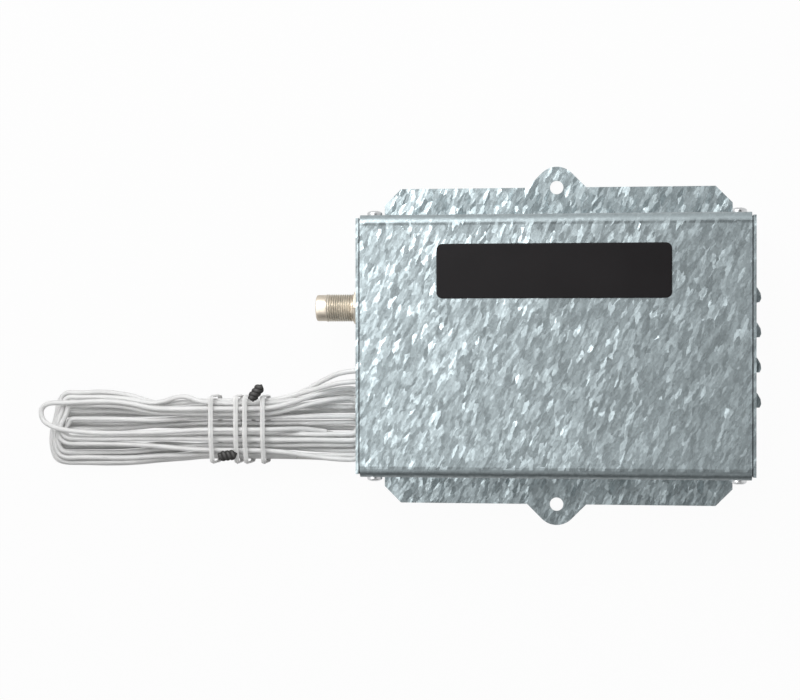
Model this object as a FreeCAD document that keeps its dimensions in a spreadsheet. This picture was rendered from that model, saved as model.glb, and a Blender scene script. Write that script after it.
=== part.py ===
import FreeCAD, Part
import Sketcher
import math
import os
import re

# A radio receiver in a flat galvanised steel case: a tray with two side walls and two mounting
# flanges, a cover that nests between the walls, a threaded coaxial jack, and two white leads
# that leave through a grommet and are folded into a tied hank.
# The frame: +Z out of the front of the cover, +X to the right, +Y up, origin at the centre of
# the underside of the back plate. All sizes are in millimetres.

V = FreeCAD.Vector
X_AXIS = V(1, 0, 0)
Z_AXIS = V(0, 0, 1)

os.makedirs("parts", exist_ok=True)
doc = FreeCAD.newDocument("coaxial_receiver")

SIZES = (
    # the case
    ("case_width", 133.35, "across the outsides of the two side walls"),
    ("case_height", 88.9, "across the outsides of the cover's top and bottom walls"),
    ("case_depth", 31.75, "from the back of the tray to the front of the cover"),
    ("sheet", 1.0, "thickness of the steel sheet"),
    ("tray_bend", 0.5, "inside radius of the tray's bends"),
    ("cover_bend", 2.0, "inside radius of the cover's bends"),
    ("slip_gap", 0.35, "gap between the cover and each side wall"),
    ("tab_gap", 0.15, "gap between the cover and the tray's screw tabs"),
    # the mounting flanges
    ("flange_width", 121.6, "length of a mounting flange"),
    ("flange_chamfer", 5.8, "corner cut of a flange"),
    ("hole_pitch", 111.125, "between the two mounting holes, which lie on the flange edges"),
    ("mount_hole", 4.76, "diameter of a mounting hole"),
    ("ear_radius", 7.3, "outer radius of the ear round a mounting hole"),
    # the cover's screws and the tabs that they go into
    ("screw_reach", 61.75, "from the middle of the case to a cover screw"),
    ("screw_level", 20.0, "height of the cover screws above the back"),
    ("cover_screw", 2.8, "diameter of a cover screw's shank"),
    ("cover_screw_length", 7.0, "under the head"),
    ("cover_head", 5.2, "diameter of a cover screw's head"),
    ("cover_head_rise", 2.1, "height of a cover screw's head"),
    ("clearance_hole", 0.4, "added to a screw's diameter where it passes freely"),
    ("thread_gap", 0.1, "added to a screw's diameter where it bites"),
    ("tab_width", 9.4, "from the side wall to the free edge of a screw tab"),
    ("tab_low", 9.0, "height of the lower edge of a screw tab"),
    ("tab_high", 27.0, "height of the upper edge of a screw tab"),
    # the vents pressed out of the right wall
    ("vent_pitch", 11.7, "between neighbouring vents"),
    ("vent_width", 5.8, "across one vent"),
    ("vent_rise", 2.0, "how far a vent stands out of the wall"),
    ("vent_low", 5.5, "lower end of a vent"),
    ("vent_high", 25.5, "upper end of a vent"),
    ("vent_count", 4, "vents in the wall"),
    # the name plate
    ("plate_width", 78.4, "of the bare name plate"),
    ("plate_height", 18.4, "of the bare name plate"),
    ("plate_thickness", 0.35, "of the bare name plate"),
    ("plate_corner", 2.0, "corner radius of the bare name plate"),
    ("plate_centre", 25.2, "above the middle of the case"),
    # the coaxial jack
    ("jack_up", 13.2, "from the middle of the case up to the jack's axis"),
    ("jack_level", 16.0, "height of the jack's axis"),
    ("jack_thread", 9.53, "outside diameter of the jack's thread"),
    ("jack_nose", 9.1, "diameter of the plain nose"),
    ("jack_nose_length", 3.4, "of the plain nose"),
    ("jack_reach", 15.8, "from the outside of the wall to the jack's tip"),
    ("jack_bore", 6.6, "bore of the shell"),
    ("jack_neck", 8.9, "diameter of the shell under its nut, at the root of the thread"),
    ("jack_relief", 0.4, "from the nut's face to the start of the full thread"),
    ("jack_rim", 0.5, "chamfer at the jack's mouth"),
    ("jack_recess", 0.8, "from the tip to the insulator's face"),
    ("jack_block", 11.0, "side of the square block behind the wall"),
    ("jack_block_length", 8.6, "of the square block"),
    ("fit_gap", 0.05, "between a turned piece and its seat"),
    ("contact", 1.0, "diameter of the centre contact"),
    ("contact_mouth", 2.4, "diameter of the funnel in the insulator's face"),
    ("nut_across", 11.1, "across the flats of the jack's nut"),
    ("nut_thickness", 2.0, "of the jack's nut"),
    ("washer_across", 13.0, "outside diameter of the lock washer"),
    ("washer_thickness", 0.5, "of the lock washer"),
    # the grommet
    ("grommet_down", 10.4, "from the middle of the case down to the grommet's axis"),
    ("grommet_level", 14.0, "height of the grommet's axis"),
    ("grommet_across", 9.5, "diameter of the grommet's lips"),
    ("grommet_lip", 1.2, "thickness of each lip"),
    ("grommet_hole", 7.5, "hole in the wall for the grommet"),
    ("grommet_bore", 6.4, "bore of the grommet"),
    # the circuit board and what holds it
    ("board_length", 126.0, "of the circuit board"),
    ("board_width", 76.0, "of the circuit board"),
    ("board_thickness", 1.6, "of the circuit board"),
    ("standoff", 5.0, "height of a standoff"),
    ("standoff_across", 6.0, "diameter of a standoff"),
    ("board_screw_x", 50.0, "from the middle of the board to a screw, lengthways"),
    ("board_screw_y", 32.0, "from the middle of the board to a screw, crossways"),
    ("board_screw", 2.5, "diameter of a board screw's shank"),
    ("board_screw_length", 5.5, "under the head"),
    ("board_head", 5.4, "diameter of a board screw's head"),
    ("board_head_rise", 2.0, "height of a board screw's head"),
    # what stands on the board, each with its size and the place of its middle
    ("relay_length", 19.5, "of the relay"),
    ("relay_width", 15.5, "of the relay"),
    ("relay_height", 15.2, "of the relay"),
    ("relay_x", -30.0, "from the board's middle to the relay, lengthways"),
    ("relay_y", -22.0, "the same, crossways"),
    ("relay_edge", 0.8, "chamfer round the relay's top"),
    ("can_a_across", 10.0, "diameter of the larger capacitor"),
    ("can_a_height", 12.5, "of the larger capacitor"),
    ("can_a_x", -44.0, "from the board's middle to the larger capacitor, lengthways"),
    ("can_a_y", 22.0, "the same, crossways"),
    ("can_b_across", 8.0, "diameter of the smaller capacitor"),
    ("can_b_height", 11.5, "of the smaller capacitor"),
    ("can_b_x", -31.0, "from the board's middle to the smaller capacitor, lengthways"),
    ("can_b_y", 26.0, "the same, crossways"),
    ("sleeve_edge", 0.6, "chamfer at a capacitor's crimped top"),
    ("diode_length", 4.3, "of a rectifier diode"),
    ("diode_width", 2.6, "of a rectifier diode"),
    ("diode_height", 2.3, "of a rectifier diode"),
    ("diode_x", -10.0, "from the board's middle to the row of diodes, lengthways"),
    ("diode_y", 20.0, "from the board's middle to the first diode, crossways"),
    ("diode_pitch", 4.5, "between neighbouring diodes"),
    ("chip_length", 2.0, "of a chip resistor"),
    ("chip_width", 1.25, "of a chip resistor"),
    ("chip_height", 0.6, "of a chip resistor"),
    ("chip_x", 22.0, "from the board's middle to the first chip resistor, lengthways"),
    ("chip_y", -14.0, "the same, crossways"),
    ("chip_pitch", 4.0, "between neighbouring chip resistors of a row"),
    ("chip_row_pitch", 5.0, "between the two rows"),
    ("regulator_length", 6.5, "of the voltage regulator's package"),
    ("regulator_width", 6.1, "of the voltage regulator's package"),
    ("regulator_height", 2.3, "of the voltage regulator's package"),
    ("regulator_x", 8.0, "from the board's middle to the regulator, lengthways"),
    ("regulator_y", 27.0, "the same, crossways"),
    ("regulator_tab_length", 5.2, "of the regulator's tab"),
    ("regulator_tab_width", 7.6, "of the regulator's tab"),
    ("regulator_tab_height", 0.5, "of the regulator's tab"),
    ("regulator_tab_out", 1.0, "how far the tab's middle lies from the package's"),
    ("controller_length", 22.9, "of the microcontroller's package"),
    ("controller_width", 6.4, "of the microcontroller's package"),
    ("controller_height", 3.3, "of the microcontroller's package"),
    ("controller_x", 8.0, "from the board's middle to the microcontroller, lengthways"),
    ("controller_y", -6.0, "the same, crossways"),
    ("controller_lift", 0.5, "gap under the microcontroller's package"),
    ("leg_length", 0.5, "of one leg, along the package"),
    ("leg_width", 0.6, "of one leg, out from the package"),
    ("leg_height", 2.2, "of one leg"),
    ("leg_out", 3.5, "from the package's middle line to a row of legs"),
    ("pin_pitch", 2.54, "between neighbouring legs or pins"),
    ("shield_length", 32.0, "of the radio's shield can"),
    ("shield_width", 22.0, "of the radio's shield can"),
    ("shield_height", 7.0, "of the radio's shield can"),
    ("shield_wall", 0.4, "thickness of the shield can"),
    ("shield_x", 30.0, "from the board's middle to the shield can, lengthways"),
    ("shield_y", 22.0, "the same, crossways"),
    ("crystal_length", 11.0, "of the crystal"),
    ("crystal_width", 4.7, "of the crystal"),
    ("crystal_height", 3.6, "of the crystal"),
    ("crystal_corner", 1.6, "corner cut of the crystal's can"),
    ("crystal_x", 30.0, "from the board's middle to the crystal, lengthways"),
    ("crystal_y", 2.0, "the same, crossways"),
    ("header_width", 2.5, "of the mode header's base"),
    ("header_height", 2.5, "of the mode header's base"),
    ("header_x", -2.0, "from the board's middle to the header's middle pin, lengthways"),
    ("header_y", 8.0, "the same, crossways"),
    ("pin_side", 0.64, "side of a header's pin"),
    ("pin_height", 8.5, "of a header's pin above the board"),
    ("shunt_length", 5.0, "of the mode shunt"),
    ("shunt_width", 2.4, "of the mode shunt"),
    ("shunt_height", 6.3, "of the mode shunt"),
    ("shunt_slot", 0.8, "side of a slot in the shunt"),
    ("shunt_roof", 0.2, "left above a slot"),
    # the learn switch, its button and the lamp beside it
    ("switch_side", 6.0, "width of the switch body"),
    ("switch_depth", 4.4, "of the switch body, along the button"),
    ("switch_height", 7.0, "of the switch body"),
    ("switch_down", 30.0, "from the middle of the case down to the switch"),
    ("switch_front", 59.6, "from the middle of the case to the switch's front face"),
    ("button_level", 3.5, "height of the button's axis above the board"),
    ("button", 3.4, "diameter of the button"),
    ("button_collar", 4.6, "diameter of the collar that keeps the button in"),
    ("button_collar_length", 0.6, "of the collar"),
    ("button_reach", 5.4, "from the switch's front face to the button's tip"),
    ("button_gap", 0.15, "all round the button"),
    ("button_travel", 0.3, "from rest to the stop"),
    ("button_stop_gap", 0.2, "left behind the button when it is pressed"),
    ("switch_lip", 0.9, "thickness of the switch's front wall"),
    ("button_hole", 4.4, "hole in the right wall in front of the button"),
    ("lamp", 3.0, "diameter of the status lamp"),
    ("lamp_length", 5.3, "from its back to the tip of its dome"),
    ("lamp_down", 24.3, "from the middle of the case down to the lamp"),
    ("lamp_front", 64.6, "from the middle of the case to the tip of the lamp"),
    ("lamp_hole", 3.4, "hole in the right wall in front of the lamp"),
    # the leads
    ("lead", 1.8, "diameter of a lead over its insulation"),
    ("lead_spread", 3.8, "between the two leads in the grommet"),
    ("strand", 1.0, "diameter of the bared strands"),
    ("bared", 8.0, "length of a bared end"),
    ("tail_bend", 5.4, "radius of the leads' bend behind the grommet"),
    ("tail_reach", 7.0, "from the grommet to where a lead meets the board"),
    # the hank
    ("hank_middle", 29.5, "from the middle of the case down to the hank's axis"),
    ("hank_shift", 0.6, "how far each lead's loops lie to one side of that axis"),
    ("hank_step", 2.42, "between neighbouring turns at the waist, in a fold and in height"),
    ("hank_wall_gap", 1.7, "from the case's side to the centre of the first turn"),
    ("hank_far", 181.5, "from the middle of the case to the centre of the farthest turn"),
    ("hank_layer_back", 1.8, "how much shorter each layer is than the one below it"),
    ("lane_far", 3.6, "between neighbouring turns of one layer at the hank's far end"),
    ("lane_near", 3.2, "the same beside the case"),
    ("half_far", 12.95, "half the hank's width at its far end, to the centre of a turn"),
    ("half_waist", 9.35, "the same at the waist"),
    ("half_near", 11.85, "the same beside the case"),
    ("waist_far", 125.0, "from the middle of the case to the far end of the waist"),
    ("waist_near", 102.5, "from the middle of the case to the near end of the waist"),
    ("fold_radius", 5.4, "radius of the corners of a fold"),
    ("waist_radius", 40.0, "radius of the bends at the waist"),
    ("floor_gap", 0.05, "between the lowest turn and the surface"),
    ("loop_reach", 185.1, "from the middle of the case to the loop that slipped out"),
    ("loop_top", 20.0, "from the middle of the case down to the slipped loop's upper run"),
    ("loop_bottom", 28.4, "from the middle of the case down to its lower run"),
    ("loop_end", 98.0, "from the middle of the case to where that lead's insulation ends"),
    ("first_end", 92.0, "from the middle of the case to where the other lead's ends"),
    ("join", 107.5, "from the middle of the case to where a lead enters the hank"),
    # the ties
    ("tie", 1.2, "diameter of a tie"),
    ("tie_gap", 0.35, "between a tie and the turns that it holds"),
    ("twist_length", 6.0, "of a tie's twisted ends"),
    ("far_tie_out", 123.2, "from the middle of the case to the far tie's outer turn"),
    ("far_tie_in", 114.4, "the same to its inner turn"),
    ("far_knot", 120.0, "the same to the outer end of its twist"),
    ("near_tie_out", 110.1, "from the middle of the case to the near tie's outer turn"),
    ("near_tie_in", 104.9, "the same to its inner turn"),
    ("near_knot", 110.4, "the same to the outer end of its twist"),
)

sheet = doc.addObject("Spreadsheet::Sheet", "Sizes")
for row, (word, number, meaning) in enumerate(SIZES, start=1):
    sheet.set("A%d" % row, word)
    sheet.set("B%d" % row, str(number))
    sheet.setAlias("B%d" % row, word)
    sheet.set("C%d" % row, meaning)
doc.recompute()

WORDS = {word for word, _, _ in SIZES}
CORD_SIDES = 6
TIE_SIDES = 4
LAYER_TURNS = 3
NODES = {}


def formula(text):
    """Writes the sheet's name before each size that the text uses."""
    return re.sub(r"[a-z_]+", lambda m: "Sizes." + m.group() if m.group() in WORDS else m.group(), text)


def value(text):
    """The number that a formula gives."""
    return float(sheet.evalExpression(formula(text)))


def bind(piece, **settings):
    for setting, text in settings.items():
        piece.setExpression(setting.replace("__", "."), formula(text))


def place(piece, x="0", y="0", z="0"):
    bind(piece, Placement__Base__x=x, Placement__Base__y=y, Placement__Base__z=z)


def node(piece, name):
    """Names a finished sub-part."""
    piece.Label = name
    NODES[name] = piece
    return piece


def body(name, x="0", y="0", z="0"):
    piece = doc.addObject("PartDesign::Body", name)
    place(piece, x, y, z)
    return node(piece, name)


def origin_plane(piece, role):
    return next(f for f in piece.Origin.OriginFeatures if f.Role == role)


def sketch_on(piece, name, role="XY_Plane", lift="0"):
    sketch = piece.newObject("Sketcher::SketchObject", name)
    sketch.AttachmentSupport = (origin_plane(piece, role), "")
    sketch.MapMode = "FlatFace"
    bind(sketch, AttachmentOffset__Base__z=lift)
    return sketch


def pin_point(sketch, geometry, place_on_it, x, y):
    """Holds a point of the sketch at the place that two formulas give."""
    for kind, text in (("DistanceX", x), ("DistanceY", y)):
        at = sketch.addConstraint(
            Sketcher.Constraint(kind, -1, 1, geometry, place_on_it, value(text))
        )
        sketch.setExpression("Constraints[%d]" % at, formula(text))


def draw_outline(sketch, corners):
    """A closed outline of straight lines whose corners are pairs of formulas."""
    points = [V(value(x), value(y), 0) for x, y in corners]
    first = sketch.GeometryCount
    for here, there in zip(points, points[1:] + points[:1]):
        sketch.addGeometry(Part.LineSegment(here, there))
    for i, (x, y) in enumerate(corners):
        before = first + (i - 1) % len(corners)
        sketch.addConstraint(Sketcher.Constraint("Coincident", before, 2, first + i, 1))
        pin_point(sketch, first + i, 1, x, y)


def draw_circle(sketch, x, y, across):
    geometry = sketch.addGeometry(
        Part.Circle(V(value(x), value(y), 0), Z_AXIS, value(across) / 2)
    )
    pin_point(sketch, geometry, 3, x, y)
    at = sketch.addConstraint(Sketcher.Constraint("Diameter", geometry, value(across)))
    sketch.setExpression("Constraints[%d]" % at, formula(across))


def draw_screw_hole(sketch, x, y, across, sides=12):
    """A polygon round a circle of the given diameter, for a hole that a screw's head hides."""
    reach = "(" + across + ") / 2 * %.9f" % (1 / math.cos(math.pi / sides))
    corners = []
    for i in range(sides):
        angle = 2 * math.pi * (i + 0.5) / sides
        corners.append(
            (
                "%s + %s * %.9f" % (x, reach, math.cos(angle)),
                "%s + %s * %.9f" % (y, reach, math.sin(angle)),
            )
        )
    draw_outline(sketch, corners)


def draw_box(sketch, left, bottom, right, top):
    draw_outline(sketch, ((left, bottom), (right, bottom), (right, top), (left, top)))


def pad(piece, sketch, name, length, both_ways=False):
    feature = piece.newObject("PartDesign::Pad", name)
    feature.Profile = sketch
    feature.Midplane = both_ways
    bind(feature, Length=length)
    return feature


def pocket(piece, sketch, name, reversed_way=False, both_ways=False):
    """Cuts all the way through, and makes sure that something was cut."""
    doc.recompute()
    before = piece.Shape.Volume
    feature = piece.newObject("PartDesign::Pocket", name)
    feature.Profile = sketch
    feature.Type = 1
    feature.Reversed = reversed_way
    feature.Midplane = both_ways
    doc.recompute()
    if piece.Shape.Volume > before - 1e-6:
        raise RuntimeError(name + " cuts nothing")
    return feature


def turned(piece, name, corners):
    """Revolves an outline of (along, out) formulas about the body's own X axis."""
    sketch = sketch_on(piece, name + "_profile", "XZ_Plane")
    draw_outline(sketch, corners)
    feature = piece.newObject("PartDesign::Revolution", name)
    feature.Profile = sketch
    feature.ReferenceAxis = (sketch, ["H_Axis"])
    feature.Angle = 360
    return feature


def edges_where(shape, test):
    """The names of the edges whose two ends and middle all pass a test."""
    names = []
    for i, edge in enumerate(shape.Edges, start=1):
        ends = [edge.valueAt(edge.FirstParameter), edge.valueAt(edge.LastParameter)]
        ends.append(edge.valueAt((edge.FirstParameter + edge.LastParameter) / 2))
        if all(test(p) for p in ends):
            names.append("Edge%d" % i)
    return names


def round_edges(piece, name, test, radius):
    """Fillets the edges of the body's last feature that pass a test."""
    doc.recompute()
    base = piece.Tip
    names = edges_where(base.Shape, test)
    if not names:
        raise RuntimeError(name + " finds no edge")
    feature = piece.newObject("PartDesign::Fillet", name)
    feature.Base = (base, names)
    bind(feature, Radius=radius)
    return feature


def near(a, b):
    return abs(a - b) < 1e-4


def block(name, length, width, height, x, y, z):
    """A box with one corner at x, y, z."""
    piece = doc.addObject("Part::Box", name)
    bind(piece, Length=length, Width=width, Height=height)
    place(piece, x, y, z)
    return piece


def rod(name, across, length, x, y, z, axis=Z_AXIS):
    """A cylinder that starts at x, y, z and runs along an axis."""
    piece = doc.addObject("Part::Cylinder", name)
    bind(piece, Radius="(" + across + ") / 2", Height=length)
    piece.Placement = FreeCAD.Placement(V(0, 0, 0), FreeCAD.Rotation(Z_AXIS, axis))
    place(piece, x, y, z)
    return piece


def prism(name, across, length, x, y, z, sides=8, axis=Z_AXIS):
    """A regular prism whose corners lie on a circle of the given diameter."""
    piece = doc.addObject("Part::Prism", name)
    piece.Polygon = sides
    bind(piece, Circumradius="(" + across + ") / 2", Height=length)
    piece.Placement = FreeCAD.Placement(V(0, 0, 0), FreeCAD.Rotation(Z_AXIS, axis))
    place(piece, x, y, z)
    return piece


def cut(name, base, tool):
    piece = doc.addObject("Part::Cut", name)
    piece.Base = base
    piece.Tool = tool
    return piece


def fuse(name, *pieces):
    piece = doc.addObject("Part::MultiFuse", name)
    piece.Shapes = list(pieces)
    return piece


def group(name, pieces):
    piece = doc.addObject("Part::Compound", name)
    piece.Links = list(pieces)
    return node(piece, name)


def soften(name, base, test, chamfer):
    """Chamfers the edges of a primitive that pass a test."""
    doc.recompute()
    size = value(chamfer)
    piece = doc.addObject("Part::Chamfer", name)
    piece.Base = base
    piece.Edges = [(int(e[4:]), size, size) for e in edges_where(base.Shape, test)]
    return piece


SIDES = (("left", -1), ("right", 1))
ENDS = (("top", 1), ("bottom", -1))


def signed(sign, text):
    return "%d * (%s)" % (sign, text)


# The tray: back plate, flanges with their ears, two side walls, and the tabs that take the
# cover's screws.
WALL_END = "case_height / 2 - sheet - tab_gap"
FLANGE_EDGE = "hole_pitch / 2"
DIAGONAL = "%.9f" % math.sqrt(0.5)


def make_base_tray():
    tray = body("base_tray")
    half, flange = "case_width / 2", "flange_width / 2"
    shoulder, tip = FLANGE_EDGE + " - flange_chamfer", flange + " - flange_chamfer"
    quarter = (
        (half, "case_height / 2"),
        (flange, "case_height / 2"),
        (flange, shoulder),
        (tip, FLANGE_EDGE),
    )
    corners = []
    for sx, sy, way in ((1, 1, 1), (-1, 1, -1), (-1, -1, 1), (1, -1, -1)):
        corners += [(signed(sx, x), signed(sy, y)) for x, y in quarter[::way]]
    plate = sketch_on(tray, "plate_outline")
    draw_outline(plate, corners)
    pad(tray, plate, "plate", "sheet")

    ears = sketch_on(tray, "ear_slopes")
    ends = sketch_on(tray, "ear_ends")
    holes = sketch_on(tray, "mounting_holes")
    foot, touch = "ear_radius * 2 * " + DIAGONAL, "ear_radius * " + DIAGONAL
    for _, sign in ENDS:
        edge = signed(sign, FLANGE_EDGE)
        rise = signed(sign, FLANGE_EDGE + " + " + touch)
        root = signed(sign, FLANGE_EDGE + " - sheet")
        draw_outline(
            ears,
            (
                (signed(-1, foot), root),
                (signed(-1, foot), edge),
                (signed(-1, touch), rise),
                (touch, rise),
                (foot, edge),
                (foot, root),
            ),
        )
        draw_circle(ends, "0", edge, "ear_radius * 2")
        draw_circle(holes, "0", edge, "mount_hole")
    pad(tray, ears, "ear_webs", "sheet")
    pad(tray, ends, "ear_rounds", "sheet")

    walls = sketch_on(tray, "side_walls_outline")
    tabs = sketch_on(tray, "screw_tabs_outline", lift="tab_low")
    inner = "case_width / 2 - sheet"
    for _, sx in SIDES:
        draw_box(
            walls, signed(sx, inner), signed(-1, WALL_END), signed(sx, half), WALL_END
        )
        for _, sy in ENDS:
            draw_box(
                tabs,
                signed(sx, inner + " - tab_width"),
                signed(sy, WALL_END + " - sheet"),
                signed(sx, inner + " + sheet / 2"),
                signed(sy, WALL_END),
            )
    pad(tray, walls, "side_walls", "case_depth")
    pad(tray, tabs, "screw_tabs", "tab_high - tab_low")
    pocket(tray, holes, "mounting_hole_cuts", reversed_way=True)

    screw_holes = sketch_on(tray, "tab_hole_circles", "XZ_Plane")
    for _, sx in SIDES:
        draw_screw_hole(
            screw_holes, signed(sx, "screw_reach"), "screw_level", "cover_screw + thread_gap"
        )
    pocket(tray, screw_holes, "tab_holes", both_ways=True)

    left_holes = sketch_on(tray, "left_wall_circles", "YZ_Plane")
    draw_circle(left_holes, "jack_up", "jack_level", "jack_thread + 2 * fit_gap")
    draw_circle(left_holes, "-grommet_down", "grommet_level", "grommet_hole")
    pocket(tray, left_holes, "left_wall_holes")
    right_holes = sketch_on(tray, "right_wall_circles", "YZ_Plane")
    axis_level = BOARD_TOP + " + button_level"
    draw_circle(right_holes, "-switch_down", axis_level, "button_hole")
    draw_circle(right_holes, "-lamp_down", axis_level, "lamp_hole")
    pocket(tray, right_holes, "right_wall_holes", reversed_way=True)

    outside, inside = value(half), value(inner)
    round_edges(
        tray,
        "outer_bends",
        lambda p: near(abs(p.x), outside) and near(p.z, 0),
        "tray_bend + sheet / 2",
    )
    round_edges(
        tray,
        "inner_bends",
        lambda p: near(abs(p.x), inside) and near(p.z, value("sheet")),
        "tray_bend",
    )
    press_vents(tray, inner)
    return tray


def press_vents(tray, inner):
    """Slits the right wall and pushes each strip out as a hooded vent, open on its lower side."""
    half, edge = "case_width / 2", "vent_width / 2"
    first = "-vent_pitch * (vent_count - 1) / 2"
    hood = sketch_on(tray, "vent_hood_outline", lift="vent_low")
    hollow = sketch_on(tray, "vent_hollow_outline", lift="vent_low + sheet")
    crown = half + " + vent_rise"

    def at(text):
        return first + " + " + text

    draw_outline(
        hood,
        (
            (half + " - sheet / 2", at("-" + edge)),
            (half + " + vent_rise * 0.72", at("-" + edge)),
            (crown, at("-vent_width * 0.3")),
            (crown + " - vent_rise * 0.12", at("0")),
            (half + " + vent_rise * 0.35", at("vent_width * 0.32")),
            (half + " - sheet / 2", at(edge)),
        ),
    )
    draw_outline(
        hollow,
        (
            (inner + " - sheet", at("-" + edge + " - sheet / 2")),
            (half + " + vent_rise * 0.72 - sheet * 0.75", at("-" + edge + " - sheet / 2")),
            (crown + " - sheet * 0.75", at("-vent_width * 0.3")),
            (crown + " - vent_rise * 0.12 - sheet * 0.8", at("0")),
            (half + " - sheet * 0.6", at("vent_width * 0.32")),
            (inner + " - sheet", at("vent_width * 0.36")),
        ),
    )
    hood_pad = pad(tray, hood, "vent_hood", "vent_high - vent_low")
    doc.recompute()
    before = tray.Shape.Volume
    cavity = tray.newObject("PartDesign::Pocket", "vent_hollow")
    cavity.Profile = hollow
    cavity.Reversed = True
    bind(cavity, Length="vent_high - vent_low - 2 * sheet")
    doc.recompute()
    if tray.Shape.Volume > before - 1e-6:
        raise RuntimeError("the vent's hollow cuts nothing")
    row = tray.newObject("PartDesign::LinearPattern", "vents")
    row.Originals = [hood_pad, cavity]
    row.Direction = (hood, ["V_Axis"])
    bind(row, Length="vent_pitch * (vent_count - 1)", Occurrences="vent_count")
    tray.Tip = row


BOARD_TOP = "sheet + standoff + board_thickness"
SHEET_FACE = "case_height / 2"


def make_cover():
    cover = body("cover")
    profile = sketch_on(cover, "cover_profile", "YZ_Plane")
    out, inn, top, under = SHEET_FACE, SHEET_FACE + " - sheet", "case_depth", "case_depth - sheet"
    draw_outline(
        profile,
        (
            (signed(-1, out), "sheet"),
            (signed(-1, inn), "sheet"),
            (signed(-1, inn), under),
            (inn, under),
            (inn, "sheet"),
            (out, "sheet"),
            (out, top),
            (signed(-1, out), top),
        ),
    )
    pad(cover, profile, "folded_sheet", "case_width - 2 * sheet - 2 * slip_gap", both_ways=True)
    outside, inside = value(out), value(inn)
    round_edges(
        cover,
        "outer_bends",
        lambda p: near(abs(p.y), outside) and near(p.z, value(top)),
        "cover_bend + sheet",
    )
    round_edges(
        cover,
        "inner_bends",
        lambda p: near(abs(p.y), inside) and near(p.z, value(under)),
        "cover_bend",
    )
    holes = sketch_on(cover, "screw_hole_circles", "XZ_Plane")
    for _, sx in SIDES:
        draw_screw_hole(
            holes, signed(sx, "screw_reach"), "screw_level", "cover_screw + clearance_hole"
        )
    pocket(cover, holes, "screw_holes", both_ways=True)
    return cover


def make_cover_screws():
    screws = []
    for side, sx in SIDES:
        for end, sy in ENDS:
            name = "cover_screw_%s_%s" % (end, side)
            x, outward = signed(sx, "screw_reach"), V(0, sy, 0)
            head = prism(
                name + "_head", "cover_head", "cover_head_rise",
                x, signed(sy, SHEET_FACE), "screw_level", 16, outward,
            )
            crown = value(SHEET_FACE) + value("cover_head_rise")
            head = soften(
                name + "_crown", head,
                lambda p, crown=crown: near(abs(p.y), crown),
                "cover_head_rise * 0.45",
            )
            shank = prism(
                name + "_shank", "cover_screw", "cover_screw_length",
                x, signed(sy, SHEET_FACE + " - cover_screw_length"), "screw_level", 8, outward,
            )
            screws.append(fuse(name, head, shank))
    return group("cover_screws", screws)


def make_name_plate():
    plate = body("name_plate", y="plate_centre", z="case_depth")
    outline = sketch_on(plate, "plate_rectangle")
    half, up = "plate_width / 2", "plate_height / 2"
    draw_box(outline, signed(-1, half), signed(-1, up), half, up)
    pad(plate, outline, "plate_blank", "plate_thickness")
    wide = value(half)
    high = value(up)
    round_edges(
        plate, "plate_corners",
        lambda p: near(abs(p.x), wide) and near(abs(p.y), high),
        "plate_corner",
    )
    return plate


# The coaxial jack: a threaded shell with a square block behind the wall, an insulator, a
# contact that turns down to the board, and a lock washer and nut outside the wall.
JACK_TIP = "-case_width / 2 - jack_reach"
WALL_INSIDE = "-case_width / 2 + sheet"
BLOCK_END = WALL_INSIDE + " + jack_block_length"
NUT_FACE = "-case_width / 2 - washer_thickness - nut_thickness"
THREAD_END = NUT_FACE + " - jack_relief"


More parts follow.
